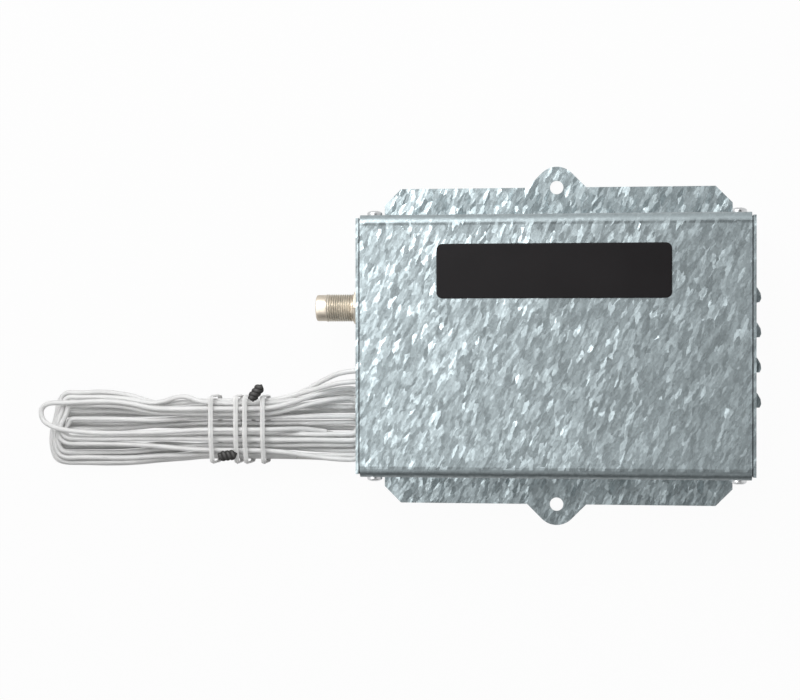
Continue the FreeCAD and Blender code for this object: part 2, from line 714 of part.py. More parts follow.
def make_jack():
    shell = body("jack_shell", y="jack_up", z="jack_level")
    thread, nose, bore = "jack_thread / 2", "jack_nose / 2", "jack_bore / 2"
    shoulder = JACK_TIP + " + jack_nose_length"
    turned(
        shell,
        "shell_turning",
        (
            (JACK_TIP, bore),
            (JACK_TIP, nose + " - jack_rim"),
            (JACK_TIP + " + jack_rim", nose),
            (shoulder, nose),
            (shoulder + " + (jack_thread - jack_nose) / 2", thread),
            (THREAD_END, thread),
            (THREAD_END, "jack_neck / 2"),
            (WALL_INSIDE, "jack_neck / 2"),
            (WALL_INSIDE, bore),
        ),
    )
    outline = sketch_on(shell, "block_outline", "YZ_Plane", WALL_INSIDE)
    side = "jack_block / 2"
    draw_box(outline, signed(-1, side), BOARD_TOP + " - jack_level", side, side)
    draw_circle(outline, "0", "0", "jack_bore")
    pad(shell, outline, "block", "jack_block_length")

    insulator = body("jack_insulator", y="jack_up", z="jack_level")
    face, out = JACK_TIP + " + jack_recess", "jack_bore / 2 - fit_gap"
    hole, mouth = "contact / 2 + fit_gap", "contact_mouth / 2"
    turned(
        insulator,
        "insulator_turning",
        (
            (face, mouth),
            (face, out),
            (BLOCK_END, out),
            (BLOCK_END, hole),
            (face + " + (contact_mouth - contact) / 2", hole),
        ),
    )

    start = JACK_TIP + " + 3 * jack_recess"
    bend = BLOCK_END + " + contact * 1.5"
    along = prism(
        "contact_run", "contact", "(" + bend + ") - (" + start + ")",
        start, "jack_up", "jack_level", 8, X_AXIS,
    )
    down = prism(
        "contact_leg", "contact", "jack_level + contact / 2 - (" + BOARD_TOP + ")",
        bend, "jack_up", BOARD_TOP,
    )
    node(fuse("jack_contact", along, down), "jack_contact")

    outside = "-case_width / 2 - washer_thickness"
    disc = prism(
        "washer_disc", "washer_across", "washer_thickness",
        outside, "jack_up", "jack_level", 24, X_AXIS,
    )
    bore = rod(
        "washer_bore", "jack_thread + 2 * fit_gap", "washer_thickness",
        outside, "jack_up", "jack_level", X_AXIS,
    )
    node(cut("jack_washer", disc, bore), "jack_washer")

    nut = body("jack_nut", NUT_FACE, "jack_up", "jack_level")
    hexagon = sketch_on(nut, "nut_hexagon", "YZ_Plane")
    corners = []
    for i in range(6):
        angle = math.radians(60 * i)
        radius = "nut_across / 2 * %.9f" % (1 / math.cos(math.radians(30)))
        corners.append(
            ("%s * %.9f" % (radius, math.cos(angle)), "%s * %.9f" % (radius, math.sin(angle)))
        )
    draw_outline(hexagon, corners)
    draw_circle(hexagon, "0", "0", "jack_neck + 2 * fit_gap")
    pad(nut, hexagon, "nut_blank", "nut_thickness")


def make_grommet():
    grommet = body("wire_grommet", y="-grommet_down", z="grommet_level")
    lip, neck, bore = "grommet_across / 2", "grommet_hole / 2", "grommet_bore / 2"
    outside = "-case_width / 2"
    turned(
        grommet,
        "grommet_turning",
        (
            (outside + " - grommet_lip", bore),
            (outside + " - grommet_lip", lip + " - grommet_lip / 2"),
            (outside + " - grommet_lip / 2", lip),
            (outside, lip),
            (outside, neck),
            (WALL_INSIDE, neck),
            (WALL_INSIDE, lip),
            (WALL_INSIDE + " + grommet_lip", lip),
            (WALL_INSIDE + " + grommet_lip", bore),
        ),
    )


# The circuit board on its four standoffs, with what is soldered to it.
BOARD_UNDER = "sheet + standoff"
BOARD_CORNERS = [(sx, sy) for _, sx in SIDES for _, sy in ENDS]


def make_board():
    board = body("circuit_board", z=BOARD_UNDER)
    outline = sketch_on(board, "board_rectangle")
    half, up = "board_length / 2", "board_width / 2"
    draw_box(outline, signed(-1, half), signed(-1, up), half, up)
    for sx, sy in BOARD_CORNERS:
        draw_screw_hole(
            outline,
            signed(sx, "board_screw_x"),
            signed(sy, "board_screw_y"),
            "board_screw + clearance_hole",
        )
    pad(board, outline, "board_blank", "board_thickness")

    standoffs, screws = [], []
    for number, (sx, sy) in enumerate(BOARD_CORNERS, start=1):
        x, y = signed(sx, "board_screw_x"), signed(sy, "board_screw_y")
        post = prism("standoff_post_%d" % number, "standoff_across", "standoff", x, y, "sheet", 6)
        bore = prism(
            "standoff_bore_%d" % number, "board_screw + thread_gap", "standoff",
            x, y, "sheet", 12,
        )
        standoffs.append(cut("standoff_%d" % number, post, bore))
        head = prism(
            "board_screw_head_%d" % number, "board_head", "board_head_rise", x, y, BOARD_TOP, 12
        )
        shank = prism(
            "board_screw_shank_%d" % number, "board_screw", "board_screw_length",
            x, y, BOARD_TOP + " - board_screw_length",
        )
        screws.append(fuse("board_screw_%d" % number, head, shank))
    group("board_standoffs", standoffs)
    group("board_screws", screws)


def on_board(name, sizes, x, y, lift="0"):
    """A block whose middle stands at x, y on the board; sizes are its length, width and height."""
    length, width, height = sizes
    return block(
        name, length, width, height,
        "%s - (%s) / 2" % (x, length), "%s - (%s) / 2" % (y, width), BOARD_TOP + " + " + lift,
    )


def sizes_of(word):
    return [word + "_length", word + "_width", word + "_height"]


def make_relay():
    case = on_board("relay_case", sizes_of("relay"), "relay_x", "relay_y")
    top = value(BOARD_TOP + " + relay_height")
    node(soften("relay", case, lambda p: near(p.z, top), "relay_edge"), "relay")


def make_capacitors():
    cans = []
    for number, word in enumerate(("can_a", "can_b")):
        can = prism(
            "capacitor_can_%d" % number, word + "_across", word + "_height",
            word + "_x", word + "_y", BOARD_TOP, 24,
        )
        top = value(BOARD_TOP + " + " + word + "_height")
        cans.append(
            soften("capacitor_%d" % number, can, lambda p, top=top: near(p.z, top), "sleeve_edge")
        )
    group("filter_capacitors", cans)


def make_small_parts():
    diodes = []
    for i in range(4):
        diodes.append(
            on_board(
                "diode_%d" % i, sizes_of("diode"), "diode_x", "diode_y + diode_pitch * %d" % i
            )
        )
    group("rectifier_diodes", diodes)
    chips = []
    for row_number in range(2):
        for i in range(5):
            chips.append(
                on_board(
                    "chip_%d_%d" % (row_number, i), sizes_of("chip"),
                    "chip_x + chip_pitch * %d" % i,
                    "chip_y - chip_row_pitch * %d" % row_number,
                )
            )
    group("chip_resistors", chips)
    package = on_board("regulator_package", sizes_of("regulator"), "regulator_x", "regulator_y")
    tab = on_board(
        "regulator_tab", sizes_of("regulator_tab"),
        "regulator_x", "regulator_y + regulator_tab_out",
    )
    node(fuse("voltage_regulator", package, tab), "voltage_regulator")


def make_microcontroller():
    package = on_board(
        "controller_package", sizes_of("controller"),
        "controller_x", "controller_y", "controller_lift",
    )
    legs = []
    for i in range(9):
        for end, sign in ENDS:
            legs.append(
                on_board(
                    "controller_leg_%s_%d" % (end, i), sizes_of("leg"),
                    "controller_x + pin_pitch * %d" % (i - 4),
                    "controller_y + " + signed(sign, "leg_out"),
                )
            )
    node(fuse("microcontroller", package, *legs), "microcontroller")


def make_shield_can():
    outside = on_board("can_outside", sizes_of("shield"), "shield_x", "shield_y")
    room = ["shield_length - 2 * shield_wall", "shield_width - 2 * shield_wall",
            "shield_height - shield_wall"]
    inside = on_board("can_inside", room, "shield_x", "shield_y")
    node(cut("shield_can", outside, inside), "shield_can")
    can = on_board("crystal_body", sizes_of("crystal"), "crystal_x", "crystal_y")
    x, y = value("crystal_x"), value("crystal_y")
    end, side = value("crystal_length / 2"), value("crystal_width / 2")
    node(
        soften(
            "crystal_can", can,
            lambda p: near(abs(p.x - x), end) and near(abs(p.y - y), side),
            "crystal_corner",
        ),
        "crystal_can",
    )


def make_mode_jumper():
    base_sizes = ["pin_pitch * 3", "header_width", "header_height"]
    base = on_board("header_base", base_sizes, "header_x", "header_y")
    pin_sizes = ["pin_side", "pin_side", "pin_height"]
    pins = []
    for i in range(3):
        x = "header_x + pin_pitch * %d" % (i - 1)
        pins.append(on_board("header_pin_%d" % i, pin_sizes, x, "header_y"))
    node(fuse("mode_header", base, *pins), "mode_header")

    block_x = "header_x + pin_pitch / 2"
    shunt = on_board("shunt_block", sizes_of("shunt"), block_x, "header_y", "header_height")
    slot_sizes = ["shunt_slot", "shunt_slot", "shunt_height - shunt_roof"]
    slots = []
    for i in range(2):
        x = "header_x + pin_pitch * %d" % i
        slots.append(on_board("shunt_slot_%d" % i, slot_sizes, x, "header_y", "header_height"))
    node(cut("mode_shunt", shunt, fuse("shunt_slots", *slots)), "mode_shunt")


# The learn switch: its button runs in a stepped bore and is kept in by a collar.
SWITCH_AXIS = BOARD_TOP + " + button_level"
BUTTON_BACK = "switch_front - switch_lip - button_gap - button_collar_length"


def make_learn_switch():
    case = block(
        "switch_case", "switch_depth", "switch_side", "switch_height",
        "switch_front - switch_depth", "-switch_down - switch_side / 2", BOARD_TOP,
    )
    throat = rod(
        "switch_throat", "button + 2 * button_gap", "switch_lip + sheet",
        "switch_front - switch_lip", "-switch_down", SWITCH_AXIS, X_AXIS,
    )
    depth = "button_gap + button_collar_length + button_travel + button_stop_gap"
    chamber = rod(
        "switch_chamber", "button_collar + 2 * button_gap", depth,
        "switch_front - switch_lip - (" + depth + ")", "-switch_down", SWITCH_AXIS, X_AXIS,
    )
    node(cut("learn_switch", case, fuse("switch_bore", throat, chamber)), "learn_switch")

    collar = rod(
        "button_collar_ring", "button_collar", "button_collar_length",
        BUTTON_BACK, "-switch_down", SWITCH_AXIS, X_AXIS,
    )
    length = "switch_front + button_reach - (" + BUTTON_BACK + ")"
    stem = rod(
        "button_stem", "button", length, BUTTON_BACK, "-switch_down", SWITCH_AXIS, X_AXIS
    )
    tip = value("switch_front + button_reach")
    stem = soften("button_edge", stem, lambda p: near(p.x, tip), "button / 12")
    node(fuse("learn_button", collar, stem), "learn_button")


def make_status_lamp():
    start = "lamp_front - lamp_length"
    barrel = prism("lamp_barrel", "lamp", "lamp_length", start, "-lamp_down", SWITCH_AXIS, 16, X_AXIS)
    tip = value("lamp_front")
    dome = soften("lamp_dome", barrel, lambda p: near(p.x, tip), "lamp * 0.22")
    rim = prism("lamp_rim", "lamp * 1.25", "lamp / 4", start, "-lamp_down", SWITCH_AXIS, 16, X_AXIS)
    legs = [
        block(
            "lamp_leg_%d" % i, "lamp / 4", "lamp / 6", SWITCH_AXIS + " - (" + BOARD_TOP + ")",
            start, "-lamp_down - lamp / 12 + %s * lamp / 3" % sign, BOARD_TOP,
        )
        for i, sign in enumerate((-1, 1))
    ]
    node(fuse("status_lamp", dome, rim, *legs), "status_lamp")


# The leads. A path is straight runs joined by tangent arcs.
def rounded_path(points, radii, closed=False):
    """The wire through the points, with an arc of its own radius at each inner point."""
    count = len(points)
    corners = range(count) if closed else range(1, count - 1)
    starts, ends, arcs = {}, {}, {}
    for i in corners:
        before, here, after = points[i - 1], points[i], points[(i + 1) % count]
        come, go = (here - before).normalize(), (after - here).normalize()
        turn = come.getAngle(go)
        reach = radii[i] * math.tan(turn / 2)
        starts[i], ends[i] = here - come * reach, here + go * reach
        inward = (go - come).normalize()
        centre = here + inward * (radii[i] / math.cos(turn / 2))
        arcs[i] = Part.Arc(starts[i], centre - inward * radii[i], ends[i]).toShape()
    edges = []
    for i in range(count if closed else count - 1):
        start, stop = ends.get(i, points[i]), starts.get((i + 1) % count, points[(i + 1) % count])
        if (stop - start).Length > 1e-4:
            edges.append(Part.LineSegment(start, stop).toShape())
        if (i + 1) % count in arcs:
            edges.append(arcs[(i + 1) % count])
    return Part.Wire(edges)


def own_radii(points):
    """For each inner point, 0.45 of its shorter run over the tangent of half its turn."""
    radii = [0] * len(points)
    for i in range(1, len(points) - 1):
        come, go = points[i] - points[i - 1], points[i + 1] - points[i]
        shorter = min(come.Length, go.Length)
        radii[i] = 0.45 * shorter / math.tan(come.getAngle(go) / 2)
    return radii


def ring_profile(path, across, sides=CORD_SIDES):
    """A regular polygon square to the start of a path."""
    first = path.OrderedEdges[0]
    start = first.valueAt(first.FirstParameter)
    ahead = first.tangentAt(first.FirstParameter)
    up = Z_AXIS if abs(ahead.dot(Z_AXIS)) < 0.9 else X_AXIS
    side = ahead.cross(up).normalize()
    up = side.cross(ahead).normalize()
    turns = [2 * math.pi * (i + 0.5) / sides for i in range(sides)]
    rim = [start + (side * math.cos(a) + up * math.sin(a)) * (across / 2) for a in turns]
    return Part.makePolygon(rim + rim[:1])


def tube(path, across, sides=CORD_SIDES):
    """A tube along a path; its volume is compared with its section times its length."""
    shape = path.makePipeShell([ring_profile(path, across, sides)], True, False)
    section = sides / 2 * (across / 2) ** 2 * math.sin(2 * math.pi / sides)
    share = shape.Volume / (section * path.Length)
    if not 0.98 < share < 1.02:
        raise RuntimeError("a tube holds %.3f of its section times its length" % share)
    return shape


def solid_node(name, shape):
    piece = doc.addObject("Part::Feature", name)
    piece.Shape = shape
    return node(piece, name)


def least_gap(line, other, across, apart):
    """The least gap between two lines of points, or along one, past a stretch of itself."""
    cells = {}
    size = 4.0
    for j, q in enumerate(other):
        cells.setdefault((int(q.x // size), int(q.y // size), int(q.z // size)), []).append((j, q))
    best = size
    for i, p in enumerate(line):
        cx, cy, cz = int(p.x // size), int(p.y // size), int(p.z // size)
        for dx in (-1, 0, 1):
            for dy in (-1, 0, 1):
                for dz in (-1, 0, 1):
                    for j, q in cells.get((cx + dx, cy + dy, cz + dz), ()):
                        if line is not other or abs(i - j) > apart:
                            best = min(best, p.distanceToPoint(q))
    return best - across


LEAD = value("lead")
CASE_SIDE = -value("case_width / 2")
STEP = value("hank_step")
LIFT = value("tie + tie_gap + 0.4 * tie_gap") - value("floor_gap")
LEVELS = [value("floor_gap") + LEAD / 2 + i * STEP for i in range(5)]
FAR, NEAR = value("hank_far"), -CASE_SIDE + value("hank_wall_gap")
WAIST_FAR, WAIST_NEAR, JOIN = value("waist_far"), value("waist_near"), value("join")
MIDDLE, SHIFT = value("hank_middle"), value("hank_shift")
HALF = {"far": value("half_far"), "waist": value("half_waist"), "near": value("half_near")}
LANE = {"far": value("lane_far"), "waist": STEP, "near": value("lane_near")}
CENTRE = (-MIDDLE - SHIFT, -MIDDLE + SHIFT)


def lane(lead, side, turn, where):
    """How far across the hank a turn runs, on its upper (1) or lower (-1) side. The second
    lead's turns lie over the gaps between the first's, except at the waist."""
    along = turn if where == "waist" else turn + lead / 2
    return CENTRE[lead] + side * (HALF[where] - along * LANE[where])


def fold(lead, end, upper, lower, layer):
    """The two corners of a fold between an upper and a lower turn, as the lead passes them."""
    middle = (upper + lower) / 2
    if end == "far":
        x = middle * STEP + layer * value("hank_layer_back") - FAR
        corners = ((1, upper), (-1, lower))
    else:
        x = -NEAR - middle * STEP
        corners = ((-1, lower), (1, upper))
    return [V(x, lane(lead, side, turn, end), LEVELS[layer]) for side, turn in corners]


def waist(lead, side, turn, layer):
    """The two ends of a run's straight stretch through the ties, as the lead passes them."""
    y, z = lane(lead, side, turn, "waist"), LEVELS[layer] + LIFT
    return [V(-x, y, z) for x in (WAIST_NEAR, WAIST_FAR)[::side]]


def hank_points(lead, low):
    """Spirals in on one layer, climbs along the innermost lower run, and spirals out above."""
    inmost, high = LAYER_TURNS - 1, low + 1
    points = []
    for turn in range(LAYER_TURNS):
        last = turn == inmost
        points += waist(lead, 1, turn, low)
        points += fold(lead, "far", turn, turn, low)
        points += waist(lead, -1, turn, low)
        points += fold(lead, "near", turn if last else turn + 1, turn, high if last else low)
    for turn in range(inmost, 0, -1):
        points += waist(lead, 1, turn, high)
        points += fold(lead, "far", turn, turn - 1, high)
        points += waist(lead, -1, turn - 1, high)
        points += fold(lead, "near", turn - 1, turn - 1, high)
    points[0] = V(-JOIN, points[0].y, points[0].z)
    return points


def hank_radii(points):
    """The waist's bends are wide; a fold's corners are tight, and fit the fold."""
    radii = [0] * len(points)
    for i in range(1, len(points) - 1):
        come, go = points[i] - points[i - 1], points[i + 1] - points[i]
        turn = come.getAngle(go)
        if turn < math.pi / 4:
            radii[i] = value("waist_radius")
        else:
            cross = min(come.Length, go.Length)
            radii[i] = min(value("fold_radius"), 0.49 * cross / math.tan(turn / 2))
    return radii


def make_bared_end(name, path):
    last = path.OrderedEdges[-1]
    ahead = last.tangentAt(last.LastParameter)
    end = last.valueAt(last.LastParameter)
    path = Part.Wire([Part.makeLine(end, end + ahead * value("bared"))])
    solid_node(name, tube(path, value("strand")))


def make_leads():
    one = hank_points(0, 0)[:-2]
    on_the_way = fold(0, "near", 0, 0, 1)[0] - one[-1]
    share = (WAIST_NEAR - value("first_end")) / on_the_way.x
    one.append(one[-1] + on_the_way * share)

    two = hank_points(1, 2)
    top = LEVELS[4]
    two += [V(p.x, p.y, top + LIFT) for p in waist(1, 1, 0, 3)]
    reach, low_run = -value("loop_reach"), -value("loop_bottom")
    two += [V(reach, -value("loop_top"), top), V(reach, low_run, top)]
    two += [V(-WAIST_FAR, low_run, top + LIFT), V(-value("loop_end"), low_run + SHIFT, top + LIFT)]

    lines = []
    for name, points in (("lead_one_hank", one), ("lead_two_hank", two)):
        radii = hank_radii(points)
        path = rounded_path(points, radii)
        solid_node(name, tube(path, LEAD))
        make_bared_end(name.replace("hank", "bared_end"), path)
        line = path.discretize(Distance=1.0)
        lines.append(line)
        print(
            "%s: %.0f mm, least radius %.2f, least gap to itself %.2f"
            % (name, path.Length, min(r for r in radii if r), least_gap(line, line, LEAD, 12))
        )
    print("least gap between the two hanks: %.2f" % least_gap(lines[0], lines[1], LEAD, 0))

    start = CASE_SIDE + value("sheet + grommet_lip")
    down, spread, level = value("grommet_down"), value("lead_spread"), value("grommet_level")
    routes = (
        ("lead_one", 1, one[0], (V(-81.5, -12.0, 9.0), V(-91.0, -17.0, 4.6))),
        ("lead_two", -1, two[0], (V(-82.0, -14.6, 11.2), V(-91.6, -17.2, 7.6))),
    )
    for name, side, join, bends in routes:
        y = side * spread / 2 - down
        straight = V(-73.0, y, level)
        points = [V(start, y, level), straight, *bends, V(-100.5, join.y, join.z), join]
        radii = own_radii(points)
        path = rounded_path(points, radii)
        solid_node(name, tube(path, LEAD))
        line = path.discretize(Distance=1.0)
        print(
            "%s: %.0f mm, radii %s, least gaps to the hanks %s"
            % (
                name,
                path.Length,
                ["%.1f" % r for r in radii[1:-1]],
                ["%.2f" % least_gap(line[:-4], other, LEAD, 0) for other in lines],
            )
        )
        lines.append(line)
    print("least gap between the two leads: %.2f" % least_gap(lines[2], lines[3], LEAD, 0))

    tails = []
    for side in (1, -1):
        y, turn = side * spread / 2 - down, start + value("tail_reach")
        points = [V(start, y, level), V(turn, y, level), V(turn, y, value(BOARD_TOP))]
        tails.append(tube(rounded_path(points, [0, value("tail_bend"), 0]), LEAD, TIE_SIDES))
    solid_node("lead_tails", Part.makeCompound(tails))


# The ties: each goes twice round the waist and ends in a short twist.
def twist(start, length, wide, thin, steps=6, sides=8):
    """A two-stranded twist along X: turned ovals joined by flat triangles."""
    rims = []
    for i in range(steps + 1):
        turn = math.pi * i / 3
        rim = []
        for j in range(sides):
            a = 2 * math.pi * j / sides
            u, w = wide / 2 * math.cos(a), thin / 2 * math.sin(a)
            across = V(
                length * i / steps,
                u * math.cos(turn) - w * math.sin(turn),
                u * math.sin(turn) + w * math.cos(turn),
            )
            rim.append(start + across)
        rims.append(rim)
    faces = [Part.Face(Part.makePolygon(rim + rim[:1])) for rim in (rims[0], rims[-1])]
    for low, high in zip(rims, rims[1:]):
        for j in range(sides):
            k = (j + 1) % sides
            for corners in ((low[j], low[k], high[k]), (low[j], high[k], high[j])):
                faces.append(Part.Face(Part.makePolygon([*corners, corners[0]])))
    shell = Part.makeSolid(Part.makeShell(faces))
    if shell.Volume < 0:
        shell.reverse()
    return shell


def make_ties():
    across, gap = value("tie"), value("tie_gap")
    off = LEAD / 2 + gap + across / 2
    upper = lane(1, 1, 0, "waist") + off
    lower = lane(0, -1, 0, "waist") - off
    floor, top = across / 2 + value("floor_gap"), LEVELS[4] + LIFT + off
    shoulder, slope_start = LEVELS[3] + LIFT + off, -value("loop_bottom") - 2 * LEAD
    outline = (
        (upper, floor), (upper, top), (slope_start, top), (lower, shoulder), (lower, floor),
    )
    radii = [off, off, 4 * off, off, off]
    knot, seat = value("twist_length"), 1.3 * across
    on_slope = V(-value("far_knot"), lower + 2.2 * across, shoulder + across / 2 + seat)
    on_top = V(-value("near_knot"), upper - across, top + seat)
    places = (
        ("tie_far", ("far_tie_out", "far_tie_in"), on_slope),
        ("tie_near", ("near_tie_out", "near_tie_in"), on_top),
    )
    for name, rings, knot_start in places:
        solids = []
        for word in rings:
            corners = [V(-value(word), y, z) for y, z in outline]
            path = rounded_path(corners, radii, closed=True)
            solids.append(tube(path, across, TIE_SIDES))
        solids.append(twist(knot_start, knot, 2 * across, across))
        solid_node(name, Part.makeCompound(solids))


make_base_tray()
make_cover()
make_cover_screws()
make_name_plate()
make_jack()
make_grommet()
make_board()
make_relay()
make_capacitors()
make_small_parts()
make_microcontroller()
make_shield_can()
make_mode_jumper()
make_learn_switch()
make_status_lamp()
make_leads()
make_ties()
doc.recompute()

for item in doc.Objects:
    if "Invalid" in item.State or "Error" in item.State:
        raise RuntimeError(item.Label + " is " + " ".join(item.State))
for name, piece in NODES.items():
    if piece.Shape.isNull() or not piece.Shape.isValid():
        raise RuntimeError(name + " has no valid shape")
for name, piece in NODES.items():
    piece.Shape.exportStep("parts/" + name + ".step")
print(len(NODES), "sub-parts")
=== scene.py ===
"""The looks of a radio receiver in a galvanised steel case, with a threaded coaxial jack and a
tied hank of white leads. Every length is in metres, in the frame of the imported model: +Z out of
the cover, +X to the right, +Y up, origin at the centre of the underside of the back plate."""

import math
import bpy
import numpy as np
from mathutils import Matrix, Vector


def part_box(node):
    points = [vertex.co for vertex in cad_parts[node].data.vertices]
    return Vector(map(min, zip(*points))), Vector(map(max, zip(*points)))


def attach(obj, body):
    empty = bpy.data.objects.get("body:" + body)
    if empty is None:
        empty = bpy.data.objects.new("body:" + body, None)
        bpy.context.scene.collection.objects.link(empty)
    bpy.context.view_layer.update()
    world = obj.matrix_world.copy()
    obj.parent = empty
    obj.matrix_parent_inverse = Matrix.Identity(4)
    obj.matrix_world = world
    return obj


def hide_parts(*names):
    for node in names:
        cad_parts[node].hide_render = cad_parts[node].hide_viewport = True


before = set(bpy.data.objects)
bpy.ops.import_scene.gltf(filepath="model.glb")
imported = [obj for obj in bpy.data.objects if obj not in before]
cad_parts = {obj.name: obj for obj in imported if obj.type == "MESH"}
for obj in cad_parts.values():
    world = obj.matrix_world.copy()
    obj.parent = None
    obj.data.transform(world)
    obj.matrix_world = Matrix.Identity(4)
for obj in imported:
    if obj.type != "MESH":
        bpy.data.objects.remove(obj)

bl_info = {
    "name": "Coaxial Receiver",
    "version": (1, 0, 0),
    "blender": (4, 5, 0),
    "location": "3D View > Sidebar > Receiver",
    "description": "Dresses a coaxial radio receiver: case, jack, plate, screws and tied leads",
    "category": "Add Mesh",
}

CASE = "receiver"
BUTTON = "learn_button"
RIGHT, UP, OUT = np.eye(3)
# Two faces that meet at more than this angle have a sharp edge between them.
SHARP_FROM = math.radians(38)


def number_setting(name, description, default, unit="NONE"):
    return bpy.props.FloatProperty(name=name, description=description, default=default, unit=unit)


def colour_setting(name, description, default):
    return bpy.props.FloatVectorProperty(
        name=name, description=description, subtype="COLOR", min=0, max=1, default=default
    )


class CaseSettings(bpy.types.PropertyGroup):
    """What a user would change about the steel and the plate."""

    zinc: colour_setting("Zinc", "Middle tone of the galvanised sheet", (0.312, 0.362, 0.378))
    spangle_length: number_setting("Spangle length", "Length of one zinc crystal", 0.0037, "LENGTH")
    spangle_width: number_setting("Spangle width", "Width of one zinc crystal", 0.0012, "LENGTH")
    spangle_lean: number_setting(
        "Spangle lean", "Angle of the crystals above the case's length", math.radians(69), "ROTATION"
    )
    spangle_tilt: number_setting("Spangle tilt", "How far a crystal's face leans from the sheet", 0.2)
    plate: colour_setting("Plate", "Colour of the bare name plate", (0.016, 0.0145, 0.0155))


class LeadSettings(bpy.types.PropertyGroup):
    """What a user would change about the leads and their ties."""

    insulation: colour_setting("Insulation", "Colour of the leads", (0.78, 0.78, 0.775))
    diameter: number_setting("Diameter", "Of a lead over its insulation", 0.0018, "LENGTH")
    bared: number_setting("Bared length", "Length of the strands at a lead's end", 0.008, "LENGTH")
    looseness: number_setting("Looseness", "How far a turn strays from its lane", 0.0003, "LENGTH")


class StageSettings(bpy.types.PropertyGroup):
    """What a user would change about the lights."""

    key_power: number_setting("Key power", "Of the lamp at the upper left", 2.35, "POWER")
    fill: number_setting("Fill", "Strength of the light that comes from all round", 0.54)


class Tone:
    """A node's output. Arithmetic on it adds Math nodes."""

    def __init__(self, nodes, socket):
        self.nodes = nodes
        self.socket = socket

    def math(self, operation, *terms):
        return self.nodes.node("Math", {"operation": operation}, dict(enumerate(terms)))

    def __add__(self, other):
        return self.math("ADD", self, other)

    def __mul__(self, other):
        return self.math("MULTIPLY", self, other)

    def __sub__(self, other):
        return self.math("SUBTRACT", self, other)

    def __rsub__(self, other):
        return self.math("SUBTRACT", other, self)

    def __abs__(self):
        return self.math("ABSOLUTE", self)

    __radd__ = __add__
    __rmul__ = __mul__

    def larger(self, other):
        return self.math("MAXIMUM", self, other)

    def step(self, low, high):
        """0 below low, 1 above high, and a smooth rise between them."""
        return self.nodes.node(
            "MapRange",
            {"interpolation_type": "SMOOTHSTEP"},
            {"Value": self, "From Min": low, "From Max": high},
        )


class Nodes:
    """The node tree of a material or of the world."""

    def __init__(self, tree):
        self.tree = tree

    def node(self, kind, settings=None, inputs=None, output=0):
        """Adds a node: its settings first, then the values or links of its sockets."""
        made = self.tree.nodes.new("ShaderNode" + kind)
        for setting, choice in (settings or {}).items():
            if setting == "stops":
                ramp = made.color_ramp
                while len(ramp.elements) < len(choice):
                    ramp.elements.new(0.5)
                for element, (place, colour) in zip(ramp.elements, choice):
                    element.position = place
                    element.color = (*colour, 1)
            else:
                setattr(made, setting, choice)
        for socket, given in (inputs or {}).items():
            if isinstance(given, Tone):
                self.tree.links.new(given.socket, made.inputs[socket])
            else:
                made.inputs[socket].default_value = given
        return Tone(self, made.outputs[output])

    def seen(self):
        """1 on camera, glossy and transmission rays, and 0 on all others."""
        words = ("Is Camera Ray", "Is Glossy Ray", "Is Transmission Ray")
        camera, glossy, through = (self.node("LightPath", output=word) for word in words)
        return camera.larger(glossy).larger(through)


class Finish(Nodes):
    """A procedural material on object coordinates."""

    def __init__(self, name, **sockets):
        self.material = bpy.data.materials.new(name)
        self.material.use_nodes = True
        super().__init__(self.material.node_tree)
        self.shader = self.tree.nodes["Principled BSDF"]
        for word, value in sockets.items():
            self.shader.inputs[word.replace("_", " ")].default_value = value
        self.here = self.node("TexCoord", output="Object")

    def drive(self, socket, tone):
        self.tree.links.new(tone.socket, self.shader.inputs[socket])

    def noise(self, size, detail=2):
        """A cloudy value from 0 to 1 whose clouds are about one size across."""
        inputs = {"Vector": self.here, "Scale": 1 / size, "Detail": detail}
        return self.node("TexNoise", None, inputs, "Fac")

    def stretched(self, lengths, turn, place=None):
        """Coordinates that count cells of the given lengths, turned about Z."""
        inputs = {"Vector": place or self.here, "Rotation": (0, 0, turn), "Scale": lengths}
        return self.node("Mapping", {"vector_type": "TEXTURE"}, inputs)

    def colours(self, tone, *stops):
        return self.node("ValToRGB", {"stops": stops}, {"Fac": tone}, "Color")

    def bump(self, height, depth):
        self.drive("Normal", self.node("Bump", None, {"Height": height, "Distance": depth}))


def shades(colour, *factors):
    """The colour at several brightnesses, none above white."""
    return [tuple(min(1.0, c * f) for c in colour) for f in factors]


# The cover's two bends: how wide each is, how soft its edge, where the painted shade line beside it
# begins and is full, counted from the bend's start, and the heights between which the front begins.
BEND_WIDTH, BEND_EDGE = 0.0029, 0.0002
SHADE_LINE_FROM, SHADE_LINE_FULL = 0.0011, 0.0006
FRONT_FROM, FRONT_FULL = 0.022, 0.026


